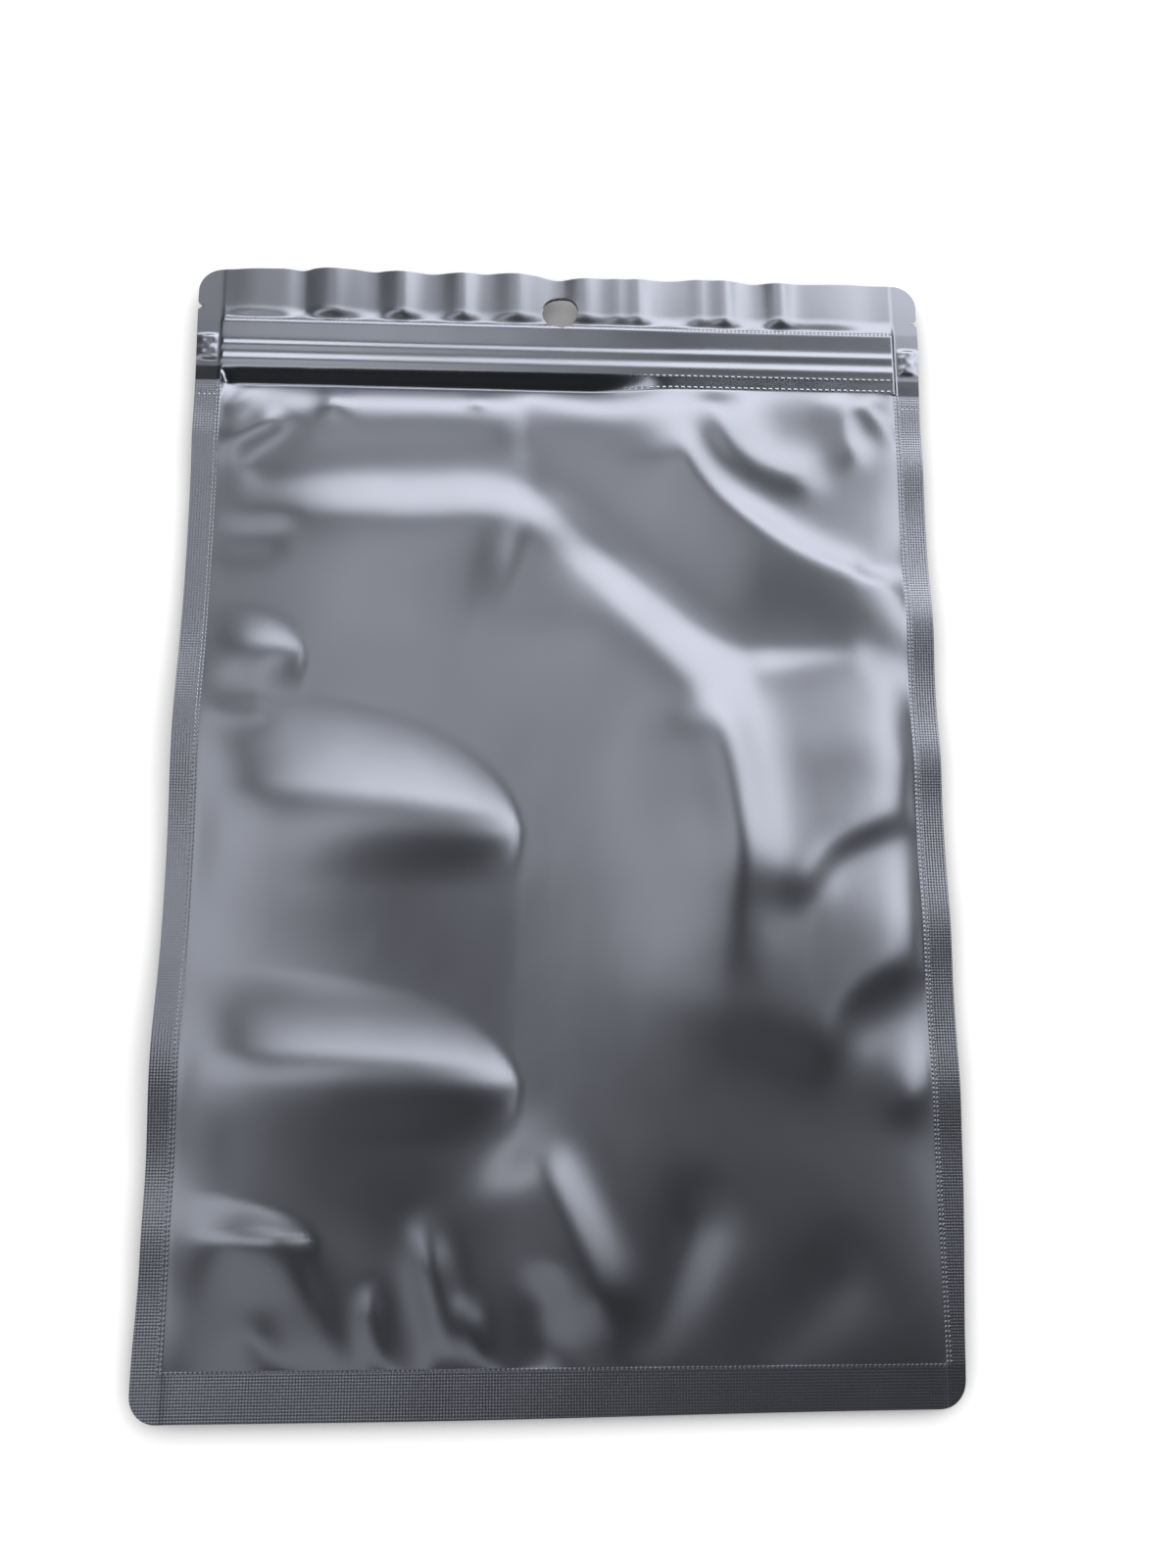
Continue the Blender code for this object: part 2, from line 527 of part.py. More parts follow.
def main():
    for obj in list(bpy.data.objects):
        bpy.data.objects.remove(obj, do_unlink=True)
    parts = collection_named("metallised_zip_pouch")
    cutters = collection_named("pouch_cutters")

    pouch = make_envelope(parts, cutters)
    pouch.data.materials.append(material_named("gunmetal_film", (0.36, 0.37, 0.39), 0.4, 0.85))
    rib, groove = make_zip(parts, cutters)
    strip = material_named("clear_zip_plastic", (0.78, 0.79, 0.80), 0.45, 0.0)
    rib.data.materials.append(strip)
    groove.data.materials.append(strip.copy())
    for obj in (pouch, rib, groove):
        obj.data.shade_smooth()
        obj.data.set_sharp_from_angle(angle=math.radians(35))


main()
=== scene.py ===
"""A flat metallised zip pouch lying on its back on a pale floor.

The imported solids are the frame. The two films are remade here as thin closed shells with the
pouch's folds, welds, header flutes and zip lines, and the two zip strips keep their solids.
"""

from __future__ import annotations

import logging
import math
from dataclasses import dataclass, field
from enum import Enum
from typing import NamedTuple

import bmesh
import bpy
import numpy as np
from mathutils import Matrix, Vector


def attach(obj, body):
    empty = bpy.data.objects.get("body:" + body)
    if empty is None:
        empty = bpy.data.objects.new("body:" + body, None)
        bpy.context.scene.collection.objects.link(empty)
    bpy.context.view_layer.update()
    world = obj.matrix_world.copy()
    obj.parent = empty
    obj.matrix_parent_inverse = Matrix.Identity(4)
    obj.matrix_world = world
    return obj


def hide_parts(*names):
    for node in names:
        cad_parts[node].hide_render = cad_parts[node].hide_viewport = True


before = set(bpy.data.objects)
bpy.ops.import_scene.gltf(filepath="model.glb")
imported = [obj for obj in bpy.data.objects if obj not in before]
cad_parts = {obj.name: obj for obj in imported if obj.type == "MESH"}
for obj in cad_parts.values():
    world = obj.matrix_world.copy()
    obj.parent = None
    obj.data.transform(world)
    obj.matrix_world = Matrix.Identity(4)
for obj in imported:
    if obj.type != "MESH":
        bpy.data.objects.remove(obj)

log = logging.getLogger("pouch")
MM = 0.001


class Face(Enum):
    """Which of the pouch's two films a panel is."""

    FRONT = 1
    BACK = -1


class Fold(NamedTuple):
    """One soft ridge or valley of the film, in millimetres.

    Attributes:
        name: what the fold is.
        path: points that its crest runs through.
        rise: height of the crest, below 0 for a valley.
        above: reach of the side to the left of the path's direction.
        below: reach of the other side.
        crease: share of the section that is sharp at the crest, from 0 to 1.
        grow: length over which it rises from the path's start.
        fade: length over which it runs out at the path's end.
    """

    name: str
    path: tuple[tuple[float, float], ...]
    rise: float
    above: float
    below: float
    crease: float
    grow: float
    fade: float


class Lobe(NamedTuple):
    """A tongue of film pushed up from the left weld, in millimetres.

    Attributes:
        name: what the lobe is.
        root: place across where its form starts, beyond the weld.
        tip: place across where it ends.
        crest: place along of its crest.
        rise: height of the crest.
        north: run of its slope toward the mouth.
        south: reach of its slope toward the foot.
        kept: share of the height that stays below the crest, down to the foot.
    """

    name: str
    root: float
    tip: float
    crest: float
    rise: float
    north: float
    south: float
    kept: float


class Softbox(NamedTuple):
    """A flat lamp that faces the pouch, in metres and watts.

    Attributes:
        name: the lamp's name.
        toward: tilts of its direction toward +X and toward +Y, in degrees.
        distance: how far it stands from the pouch.
        size: its width and height.
        power: its power.
    """

    name: str
    toward: tuple[float, float]
    distance: float
    size: tuple[float, float]
    power: float


LOBES = (
    Lobe("left_nub", -80, -53, 29, 3.0, 13, 3.5, 0),
    Lobe("left_lobe", -84, -8.5, -8, 7.3, 30, 12, 0.22),
    Lobe("second_lobe", -86, -8.5, -58.5, 7.6, 23, 12.5, 0.32),
    Lobe("corner_lobe", -96, -46, -88, 6.2, 10.5, 10.5, 0.35),
)
# How every lobe is shaped: runs in millimetres below its crest, then plain shares.
LOBES_END = -104.0
LOBE_KEPT_RUN = (32, 15)
LOBE_LEVEL_RUN = 14
LOBE_NARROW_RUN = 12
LOBE_PLATEAU = (14, 50)
LOBE_ROUNDING = 0.8
LOBE_NARROWING = 0.9
LOBE_SPREAD = 1.1
LOBE_LIFT = (0.85, 0.2)

BROAD_FOLDS = (
    Fold("long_crest", ((-76, 62.5), (-50, 60), (-30, 59), (-12, 59.5), (2, 49.5), (14, 36.5),
                        (24, 25), (30.5, 13), (33.5, 0), (34, -20), (31, -45), (24, -70)),
         2.7, 9, 13, 0.1, 32, 60),
    Fold("slant_valley", ((-13, 74), (-3, 65.5), (8, 55.5), (20, 44.5), (32, 35.5), (42, 33),
                          (56, 34), (78, 33)), -1.9, 12, 6.0, 0.15, 14, 4),
    Fold("top_trough", ((-74, 72), (-40, 71.5), (-14, 71.5), (2, 67)), -1.1, 9, 6.5, 0, 8, 8),
    Fold("zip_swell", ((-72, 82), (-40, 84), (-10, 84), (20, 83), (50, 80)), 1.5, 7, 8, 0, 14, 14),
    Fold("tall_ridge", ((29, 24), (33, 10), (35, -4), (35.5, -20), (33, -42)),
         2.0, 5.0, 8, 0.12, 12, 24),
    Fold("junction_ridge", ((39, 27.5), (52, 29), (68, 31)), 0.6, 4, 3.5, 0.1, 4, 6),
    Fold("under_crest_left", ((-77, 57), (-66, 56), (-54, 57)), -0.9, 3, 3.5, 0.1, 2, 8),
    Fold("upper_right_crest", ((24, 84), (26.5, 75), (32, 67), (40, 60), (50, 53), (62, 48),
                               (78, 43)), 2.4, 4, 9, 0.3, 8, 2),
    Fold("upper_right_inner", ((33.5, 92), (34, 85), (37.5, 78), (46, 72.5), (60, 69)),
         1.3, 4.5, 2.8, 0.3, 2, 10),
    Fold("left_nub_low", ((-75, 17.5), (-65, 16.5), (-59, 18)), 0.5, 3, 2, 0.1, 2, 3),
    Fold("corner_fan", ((-58, -86), (-51, -96), (-46, -105), (-43, -116)),
         2.2, 4.0, 13, 0.05, 12, 1),
    Fold("low_mid_ridge", ((-10, -66), (-4, -76), (2, -88), (10, -106)),
         3.3, 5.2, 9, 0.1, 12, 8),
    Fold("right_fold_high", ((80, 3), (64, -1.5), (52, -8), (45, -18), (43, -26)),
         3.2, 5.4, 20, 0.05, 3, 12),
    Fold("right_fold_low", ((80, -29), (64, -33), (53, -41), (48, -53), (46, -60)),
         3.2, 6.2, 18, 0.05, 3, 14),
    Fold("right_fold_last", ((80, -56), (70, -60), (64, -64)), 1.3, 3.5, 6, 0.2, 2, 6),
    Fold("low_valley_inner", ((32, -74), (25, -87), (15, -112)), -2.0, 5.5, 4.5, 0.1, 14, 3),
    Fold("low_valley_outer", ((62, -88), (52, -98), (40, -114)), -1.8, 6, 6, 0.1, 12, 3),
    Fold("hollow_under_crest", ((-6, 60), (-8, 48), (-11, 32)), -2.1, 13, 5.0, 0.1, 4, 20),
    Fold("hollow_under_zip", ((-6.5, 91), (-6.5, 84), (-6, 70)), -1.3, 7, 3.6, 0.2, 3, 14),
)
# Folds that start at a weld, so they fade over a shorter distance from the foot.
SMALL_FOLDS = (
    Fold("pucker_far_left", ((-68, 93), (-70, 89), (-75, 85)), 0.8, 2, 2, 0.4, 1, 3),
    Fold("pucker_left_corner", ((-60, 84), (-68, 80), (-76, 76)), 1.1, 2.4, 3.0, 0.4, 4, 1),
    Fold("pucker_left_low", ((-54, 82), (-62, 78), (-70, 71)), -0.5, 3, 2.5, 0.3, 5, 3),
    Fold("pucker_left", ((-50, 92), (-49.5, 88), (-51, 82)), 1.3, 3.0, 2.6, 0.4, 1, 5),
    Fold("dimple_left", ((-19, 92), (-18.5, 89), (-19, 86)), 0.5, 1.6, 1.6, 0.3, 1, 2),
    Fold("pucker_far_right", ((62, 92), (62, 88), (63, 80), (68, 74)), 1.0, 2.6, 3.2, 0.4, 1, 6),
    Fold("pucker_right_corner", ((66, 91), (70, 86), (76, 81)), 1.0, 1.8, 1.8, 0.4, 2, 1),
    Fold("pucker_right_top", ((68, 92), (72, 90), (76, 89)), 0.5, 1.2, 1.2, 0.4, 1, 1),
    Fold("right_edge_dent", ((78, 56), (70, 52), (62, 51)), -0.6, 2.5, 2.5, 0.2, 1, 5),
    Fold("bottom_gather_1", ((-59, -99), (-56.5, -105), (-52, -114)), 0.9, 2.2, 2.2, 0.1, 7, 1),
    Fold("bottom_gather_2", ((-36, -93), (-35.5, -103), (-33.5, -114)), 1.6, 2.1, 2.2, 0.1, 9, 1),
    Fold("bottom_gather_3", ((-27, -80), (-24.5, -92), (-22, -103), (-21, -114)),
         2.3, 3.0, 3.2, 0.1, 14, 1),
    Fold("bottom_gather_4", ((-17.5, -96), (-16.5, -105), (-14, -114)), 1.4, 2.2, 2.6, 0.1, 8, 1),
    Fold("bottom_gather_5", ((-3, -90), (-3.5, -99), (-3, -114)), -1.5, 3.2, 3.5, 0.1, 9, 1),
)

LAMPS = (
    Softbox("back_softbox", (18, 58.5), 0.9, (1.2, 0.58), 5.5),
    Softbox("right_softbox", (47, 22), 0.9, (0.46, 0.56), 1.75),
    Softbox("overhead_softbox", (-12, 7.5), 1.1, (0.72, 0.29), 0.92),
    Softbox("low_softbox", (-22, -52), 0.9, (1.0, 0.4), 0.65),
    Softbox("left_softbox", (-54, 8), 0.9, (0.6, 0.9), 1.75),
)


def smooth(start: float, end: float, value: np.ndarray) -> np.ndarray:
    """Eased step from 0 at start to 1 at end."""
    part = np.clip((value - start) / (end - start), 0, 1)
    return part * part * (3 - 2 * part)


def eased(distance: np.ndarray, scale: float) -> np.ndarray:
    """0 at a weld, growing to 1 over about twice the scale."""
    return 1 - np.exp(-np.clip(distance, 0, None) / scale)


def bumps(value: np.ndarray, items: tuple[tuple[float, float, float], ...]) -> np.ndarray:
    """Sum of rounded bumps, each given by place, rise and reach."""
    return sum(rise * np.exp(-(((value - place) / reach) ** 2)) for place, rise, reach in items)


def curve_through(points: tuple[tuple[float, float], ...], step: float = 1.2) -> np.ndarray:
    """Draws a smooth curve through points.

    Args:
        points: the points, in order.
        step: about how far apart the curve's own points lie.

    Returns:
        The curve's points, one a row.
    """
    p = np.array(points, float)
    ends = np.vstack([2 * p[0] - p[1], p, 2 * p[-1] - p[-2]])
    runs = []
    for a, b, c, d in zip(ends, ends[1:], ends[2:], ends[3:]):
        count = max(2, int(np.hypot(*(c - b)) / step))
        t = np.linspace(0, 1, count, endpoint=False)[:, None]
        runs.append(0.5 * (2 * b + (c - a) * t + (2 * a - 5 * b + 4 * c - d) * t * t
                           + (3 * b - a - 3 * c + d) * t**3))
    return np.vstack(runs + [p[-1:]])


def fold_height(x: np.ndarray, y: np.ndarray, fold: Fold) -> np.ndarray:
    """Finds the height that one fold adds, from each point's distance to the fold's path.

    Args:
        x: places across, in millimetres.
        y: places along.
        fold: the fold.

    Returns:
        The added height at each point, in millimetres.
    """
    q = curve_through(fold.path)
    run = np.r_[0, np.cumsum(np.hypot(*np.diff(q, axis=0).T))]
    step = np.gradient(run)
    along = np.gradient(q, axis=0)
    along /= np.hypot(*along.T)[:, None]
    wide = max(fold.above, fold.below)
    blur = min(3.0, max(0.8, 0.35 * wide))
    rises = fold.rise * smooth(-0.01, fold.grow, run) * smooth(-0.01, fold.fade, run[-1] - run)
    reach = 4.5 * wide
    near = ((x > q[:, 0].min() - reach) & (x < q[:, 0].max() + reach)
            & (y > q[:, 1].min() - reach) & (y < q[:, 1].max() + reach))
    px, py = x[near], y[near]
    # The path's points are summed with weights that fall off with distance, so that the distance
    # to the path and the side of it change smoothly. The first value keeps the logarithm finite.
    total = np.full(px.size, 1e-290)
    side, rise = np.zeros(px.size), np.zeros(px.size)
    for k in range(len(q)):
        dx, dy = px - q[k, 0], py - q[k, 1]
        share = step[k] * np.exp(-(dx * dx + dy * dy) / (2 * blur * blur))
        total += share
        side += share * (along[k, 0] * dy - along[k, 1] * dx)
        rise += share * rises[k]
    side, rise = side / total, rise / total
    nearness = np.log(total / (math.sqrt(2 * math.pi) * blur))
    d = np.sqrt(np.clip(-2 * blur * blur * nearness, 0, None))
    blend = smooth(-0.5, 0.5, side / (d + 0.5 * wide))
    wide_here = fold.below + (fold.above - fold.below) * blend
    soft = np.exp(-0.5 * (d / wide_here) ** 2)
    creased = np.exp(-(np.sqrt(d * d + 0.6) - 0.775) / (0.8 * wide_here))
    out = np.zeros(x.size)
    out[near] = rise * ((1 - fold.crease) * soft + fold.crease * creased)
    return out


def ramp(part: np.ndarray, soft: float = 0.3) -> np.ndarray:
    """Steps from 0 to 1, quickly from its start and running out slowly at its end.

    Args:
        part: how far along the step each point is, from 0 to 1.
        soft: share of the step that rounds off its start.

    Returns:
        The step's value at each point.
    """
    left = 1 - np.clip(part, 0, 1)
    joint = 1 - soft
    bend = 1 / (soft * (4 / 3 * joint + soft))
    rising = 4 / 3 * bend * soft / joint**0.5 * left**1.5
    return 1 - np.where(left < joint, rising, 1 - bend * (1 - left) ** 2)


def lobe_height(x: np.ndarray, y: np.ndarray, lobe: Lobe) -> np.ndarray:
    """Finds the height that one lobe adds, steep above its crest and slow below it.

    Args:
        x: places across, in millimetres.
        y: places along.
        lobe: the lobe.

    Returns:
        The added height at each point, in millimetres.
    """
    share = np.clip((x - lobe.root) / (lobe.tip - lobe.root), 0, 1)
    full = np.clip(1 - share**3, 1e-6, 1)
    beyond, before = np.clip(y - lobe.crest, 0, None), np.clip(lobe.crest - y, 0, None)
    tongue = full**LOBE_ROUNDING
    plateau = smooth(lobe.tip + LOBE_PLATEAU[0], lobe.tip - LOBE_PLATEAU[1], x)
    level = tongue + (plateau - tongue) * smooth(0, LOBE_LEVEL_RUN, before)
    kept_end = min(LOBES_END, lobe.crest - LOBE_KEPT_RUN[0])
    kept = lobe.kept * smooth(kept_end, lobe.crest - LOBE_KEPT_RUN[1], y)
    north = tongue * (1 - ramp(beyond / (lobe.north * full**0.5)))
    fall = np.exp(-0.5 * (before / (lobe.south * (1 + LOBE_SPREAD * share))) ** 2)
    narrowed = full ** (LOBE_ROUNDING + LOBE_NARROWING * smooth(0, LOBE_NARROW_RUN, before))
    south = kept * level + (1 - kept) * fall * narrowed
    lift = LOBE_LIFT[0] + LOBE_LIFT[1] * share
    return lobe.rise * lift * np.where(beyond > 0, north, south)


@dataclass
class PouchForm:
    """Sizes and height formulas of the pouch, in millimetres from its centre.

    A reach is a distance over which a form fades, and a turn gives two places between which a
    form comes in. Flutes and waves are bumps, each with its place, rise and reach, and a shift is
    an amount with its turn.
    """

    width: float = 160.0
    length: float = 240.0
    side_seal: float = 5.5
    bottom_seal: float = 9.0
    header: float = 12.5
    zip_band: float = 15.0
    film: float = 0.15
    rim: float = 4.2
    rim_sag: float = 0.9
    sag_run: float = 16.0
    belly: float = 6.8
    edge_rise: float = 0.5
    crown_rise: float = 2.4
    left_shifts: tuple[tuple[float, float, float], ...] = (
        (-0.4, 90, 112), (-0.5, -88, -112), (0.3, 92, 50))
    right_shift: tuple[float, float, float] = (0.5, 88, 108)
    right_turn: tuple[float, float] = (-55, -118)
    bottom_shift: tuple[float, float, float] = (0.9, -40, 75)
    mouth_gap: float = 0.9
    zip_cavity: float = 1.3
    ridge_rise: float = 0.28
    ridge_rows: tuple[float, float] = (101.2, 97.8)
    ridge_turns: tuple[tuple[float, float], tuple[float, float]] = ((-25, -65), (10, 40))
    flange_rows: tuple[float, float, float] = (102.2, 106.4, 108.2)
    crush_rows: tuple[float, float] = (97.2, 104.0)
    crush_columns: tuple[float, float] = (75.5, 79.9)
    corner_radius: float = 5.2
    corner_pull: float = 2.1
    hole: tuple[float, float] = (-0.4, 110.9)
    hole_radius: float = 4.0
    hole_snap: float = 1.2
    nick_place: float = 0.8
    nick_width: float = 0.7
    nick_depth: float = 0.6
    notch_y: float = 110.6
    dotted_y: float = 89.6
    notch_depth: float = 1.3
    notch_width: float = 0.9
    flute_gain: float = 2.4
    flute_lift: tuple[float, float] = (0.75, 0.25)
    flute_rise: float = 0.25
    flute_pull: float = 0.4
    mouth_droop: float = 0.03
    mouth_lift: float = 0.04
    mouth_turns: tuple[tuple[float, float], tuple[float, float]] = ((10, -35), (-10, 35))
    foot_droop: float = 0.06
    foot_turn: tuple[float, float] = (-30, 50)
    flange_lift: float = 0.17
    crush_rise: float = 0.5
    roll_start: float = 3.6
    roll_rise: float = 2.1
    roll_rise_right: float = 0.12
    roll_rise_back: float = 0.9
    roll_turn: tuple[float, float] = (6, 26)
    roll_reach: float = 5.0
    weld_reach: tuple[float, float] = (4.2, 3.0)
    foot_reach: tuple[float, float] = (9.0, 3.5)
    lobe_reach: float = 8.5
    open_reach: float = 0.8
    edge_reach: tuple[float, float, float] = (2.2, 8.0, 5.0)
    crown_reach: tuple[float, float, float] = (17, 22, 13)
    belly_reach: tuple[float, float, float] = (15, 17, 15)
    flutes: tuple[tuple[float, float, float], ...] = (
        (-72, 0.3, 7), (-57.6, -0.45, 2.6), (-51.5, 0.6, 3.4), (-42, -0.3, 3), (-36, 0.65, 2.8),
        (-29, -0.25, 3), (-22.5, 0.5, 2.4), (-17, -0.2, 2.6), (-10.5, 0.5, 3), (-1, -0.35, 3.5),
        (4.5, 0.5, 3.2), (12.5, 0.3, 1.8), (17, 0.4, 2.0), (24, -0.3, 4), (31, 0.3, 1.8),
        (36.5, 0.5, 2.4), (43.5, -0.3, 3.2), (49, 0.65, 2.8), (60, 0.1, 6), (73, -0.3, 6),
    )
    left_waves: tuple[tuple[float, float, float], ...] = (
        (81, 1.1, 8), (14, 2.8, 18), (-53, 3.2, 16), (-86, 0.8, 8))
    right_waves: tuple[tuple[float, float, float], ...] = (
        (76, 0.9, 8), (39, 1.5, 9), (9, 1.0, 7), (-26, 0.9, 9), (-58, 0.8, 8))

    @property
    def half_w(self) -> float:
        """Half the width."""
        return self.width / 2

    @property
    def half_l(self) -> float:
        """Half the length."""
        return self.length / 2

    @property
    def seal_x(self) -> float:
        """Where the side seals end."""
        return self.half_w - self.side_seal

    @property
    def seal_y(self) -> float:
        """Where the bottom seal ends."""
        return -self.half_l + self.bottom_seal

    @property
    def zip_top(self) -> float:
        """Upper edge of the zip band."""
        return self.half_l - self.header

    @property
    def zip_bottom(self) -> float:
        """Lower edge of the zip band."""
        return self.zip_top - self.zip_band

    def middle(self, x: np.ndarray, y: np.ndarray) -> np.ndarray:
        """Finds the weld plane, which sags and waves along the sides and flutes in the header.

        Args:
            x: places across, in millimetres.
            y: places along.

        Returns:
            The plane's height at each point.
        """
        body = smooth(self.zip_bottom - 1, self.zip_bottom - self.sag_run, y)
        edge = np.clip(np.abs(x) / self.half_w, 0, 1)
        wave = np.where(x < 0, bumps(y, self.left_waves), bumps(y, self.right_waves)) * edge**3
        ends = smooth(-self.half_l, -self.half_l + self.sag_run, y)
        head = smooth(self.zip_top + 0.1, self.zip_top + 2.2, y)
        head = head * smooth(self.seal_x + 2, self.seal_x - 8, np.abs(x))
        lift = self.flute_lift[0] + self.flute_lift[1] * (y - self.zip_top) / self.header
        above = np.clip(y - self.zip_top, 0, None)
        left, right = self.mouth_turns
        curl = above * (self.mouth_lift * smooth(*left, x) - self.mouth_droop * smooth(*right, x))
        foot = self.foot_droop * smooth(*self.foot_turn, x) * np.clip(self.seal_y - y, 0, None)
        return (self.rim - self.rim_sag * body + body * ends * wave + curl - foot
                + head * (self.flute_rise + self.flute_gain * bumps(x, self.flutes) * lift))

    def gap(self, x: np.ndarray, y: np.ndarray) -> np.ndarray:
        """Finds the space between the two plies, from the zip up to the mouth."""
        mouth = self.mouth_gap * (0.75 + 0.25 * smooth(self.seal_x, 0, np.abs(x)))
        change = (mouth - self.zip_cavity) * smooth(self.zip_top, self.zip_top + 3.5, y)
        return self.zip_cavity + change

    def zip_outside(self, x: np.ndarray, y: np.ndarray) -> np.ndarray:
        """Finds how far the film stands off the weld plane over the zip and its crushed ends.

        Args:
            x: places across, in millimetres.
            y: places along.

        Returns:
            The film's height above the plane at each point.
        """
        left, right = (smooth(*turn, x) for turn in self.ridge_turns)
        pressed = 0.6 + 0.4 * left + 0.25 * right
        lines = sum(np.exp(-((y - row) ** 2)) for row in self.ridge_rows)
        ridges = self.ridge_rise * pressed * lines
        ends = smooth(self.seal_x + 0.6, self.seal_x - 0.1, np.abs(x))
        start, crown, stop = self.flange_rows
        flange = (self.flange_lift * (1 - 0.5 * right) * np.clip(y - start, 0, None)
                  * smooth(stop, crown, y))
        (low, high), (inner, outer) = self.crush_rows, self.crush_columns
        pad = (smooth(low, low + 1, y) * smooth(high, high - 1, y)
               * smooth(inner, inner + 0.8, np.abs(x)) * smooth(outer, outer - 0.9, np.abs(x)))
        crush = pad * (1 + 0.25 * np.sin(2.4 * y) * np.sin(1.7 * x))
        return ((self.gap(x, y) / 2 + self.film + ridges + flange) * ends
                + (1 - ends) * (2.4 * self.film + self.crush_rise * crush))

    def roll_share(self, y: np.ndarray) -> np.ndarray:
        """Says how far the film has rolled down toward the zip's lower edge, from 0 to 1."""
        part = np.clip((self.zip_bottom + self.roll_start - y) / self.roll_start, 0, 1)
        return 0.7 * part + 0.3 * part * part * (3 - 2 * part)

    def sheltered(self, x: np.ndarray, y: np.ndarray,
                  reach: tuple[float, float, float]) -> np.ndarray:
        """Finds how free the film is of the side welds, the foot and the zip, from 0 to 1."""
        side, low, top = self.seal_x - np.abs(x), y - self.seal_y, self.zip_bottom - y
        return eased(side, reach[0]) * eased(low, reach[1]) * eased(top, reach[2])

    def front(self, x: np.ndarray, y: np.ndarray) -> np.ndarray:
        """Finds the outer height of the front film.

        Args:
            x: places across, in millimetres.
            y: places along.

        Returns:
            The height at each point, in millimetres above the floor.
        """
        side, low, top = self.seal_x - np.abs(x), y - self.seal_y, self.zip_bottom - y
        weld = eased(side, self.weld_reach[0]) * eased(top, self.weld_reach[1])
        crown = (self.edge_rise * self.sheltered(x, y, self.edge_reach)
                 + self.crown_rise * self.sheltered(x, y, self.crown_reach))
        lobes = sum(lobe_height(x, y, lobe) for lobe in LOBES)
        lobes = lobes * eased(x + self.seal_x, self.lobe_reach)
        broad = sum(fold_height(x, y, fold) for fold in BROAD_FOLDS) + lobes
        small = sum(fold_height(x, y, fold) for fold in SMALL_FOLDS)
        folds = broad * eased(low, self.foot_reach[0]) + small * eased(low, self.foot_reach[1])
        turn = smooth(*self.roll_turn, x)
        drop = self.roll_rise + (self.roll_rise_right - self.roll_rise) * turn
        open_here = eased(side, self.open_reach)
        at_zip = (self.zip_cavity / 2 + self.film - drop) * open_here
        body = (self.middle(x, y) + self.film * (2 - open_here) + crown + weld * folds
                + at_zip * np.exp(-np.clip(top, 0, None) / self.roll_reach))
        roll = self.roll_share(y)
        head = self.middle(x, y) + self.zip_outside(x, y) - roll * (drop - self.film) * open_here
        return np.where(y > self.zip_bottom - 0.05, head, body)

    def back(self, x: np.ndarray, y: np.ndarray) -> np.ndarray:
        """Finds the outer height of the back film, flat where it rests.

        Args:
            x: places across, in millimetres.
            y: places along.

        Returns:
            The height at each point, in millimetres above the floor.
        """
        side, top = self.seal_x - np.abs(x), self.zip_bottom - y
        belly = self.belly * self.sheltered(x, y, self.belly_reach)
        open_here = eased(side, self.open_reach)
        at_zip = (self.zip_cavity / 2 + self.roll_rise_back) * open_here
        body = np.maximum(self.middle(x, y) - self.film - belly
                          - at_zip * np.exp(-np.clip(top, 0, None) / self.roll_reach), 0.0)
        roll = self.roll_share(y)
        head = (self.middle(x, y) - self.zip_outside(x, y)
                - roll * self.roll_rise_back * open_here)
        return np.where(y > self.zip_bottom - 0.05, head, body)

    def right_edge(self, y: np.ndarray) -> np.ndarray:
        """Finds where the cut edge runs on the right."""
        amount, start, end = self.right_shift
        pulled = self.corner_pull * smooth(*self.right_turn, y) ** 1.5
        return self.half_w - pulled + amount * smooth(start, end, y)

    def left_edge(self, y: np.ndarray) -> np.ndarray:
        """Finds where the cut edge runs on the left."""
        return -self.half_w + sum(amount * smooth(start, end, y)
                                  for amount, start, end in self.left_shifts)

    def top_edge(self, x: np.ndarray) -> np.ndarray:
        """Finds where the mouth's cut edge runs.

        Args:
            x: places across, in millimetres.

        Returns:
            The edge's place along, at each x.
        """
        dip = 0.8 * np.exp(-(((x - self.hole[0]) / 5) ** 2)) + 0.25 * (1 + np.sin(x / 6.5))
        arch = np.clip(self.flute_gain * bumps(x, self.flutes), 0, None)
        return self.half_l - 0.9 * dip - self.flute_pull * arch

    def bottom_edge(self, x: np.ndarray) -> np.ndarray:
        """Finds where the bottom's cut edge runs."""
        amount, start, end = self.bottom_shift
        return -self.half_l + amount * smooth(start, end, x)

    def onto_outline(self, u: np.ndarray, v: np.ndarray) -> tuple[np.ndarray, np.ndarray]:
        """Moves points of the plain grid so that the grid's border follows the cut edge.

        Args:
            u: places across, in millimetres, where the border is at plus or minus half_w.
            v: places along, where the border is at plus or minus half_l.

        Returns:
            The points' places across and along on the film.
        """
        near_x = smooth(self.half_w - 9, self.half_w, np.abs(u))
        near_y = smooth(self.half_l - 7, self.half_l, np.abs(v))
        shift_x = np.where(u > 0, self.right_edge(v) - self.half_w, self.left_edge(v) + self.half_w)
        shift_y = np.where(v > 0, self.top_edge(u) - self.half_l, self.bottom_edge(u) + self.half_l)
        return u + shift_x * near_x, v + shift_y * near_y


def spaced(*stretches: tuple[float, float, float]) -> np.ndarray:
    """Spaces grid lines over stretches that follow each other.

    Args:
        stretches: start, end and spacing of each, in millimetres.

    Returns:
        The places of the lines.
    """
    lines = []
    for start, end, step in stretches:
        count = max(1, round((end - start) / step))
        lines.extend(np.linspace(start, end, count + 1)[:-1])
    return np.array(lines + [stretches[-1][1]])


def apply_modifier(obj: bpy.types.Object, name: str) -> None:
    """Selects one object alone and applies one of its modifiers.

    Args:
        obj: the object.
        name: the modifier's name.
    """
    bpy.ops.object.select_all(action="DESELECT")
    obj.select_set(True)
    bpy.context.view_layer.objects.active = obj
    bpy.ops.object.modifier_apply(modifier=name)


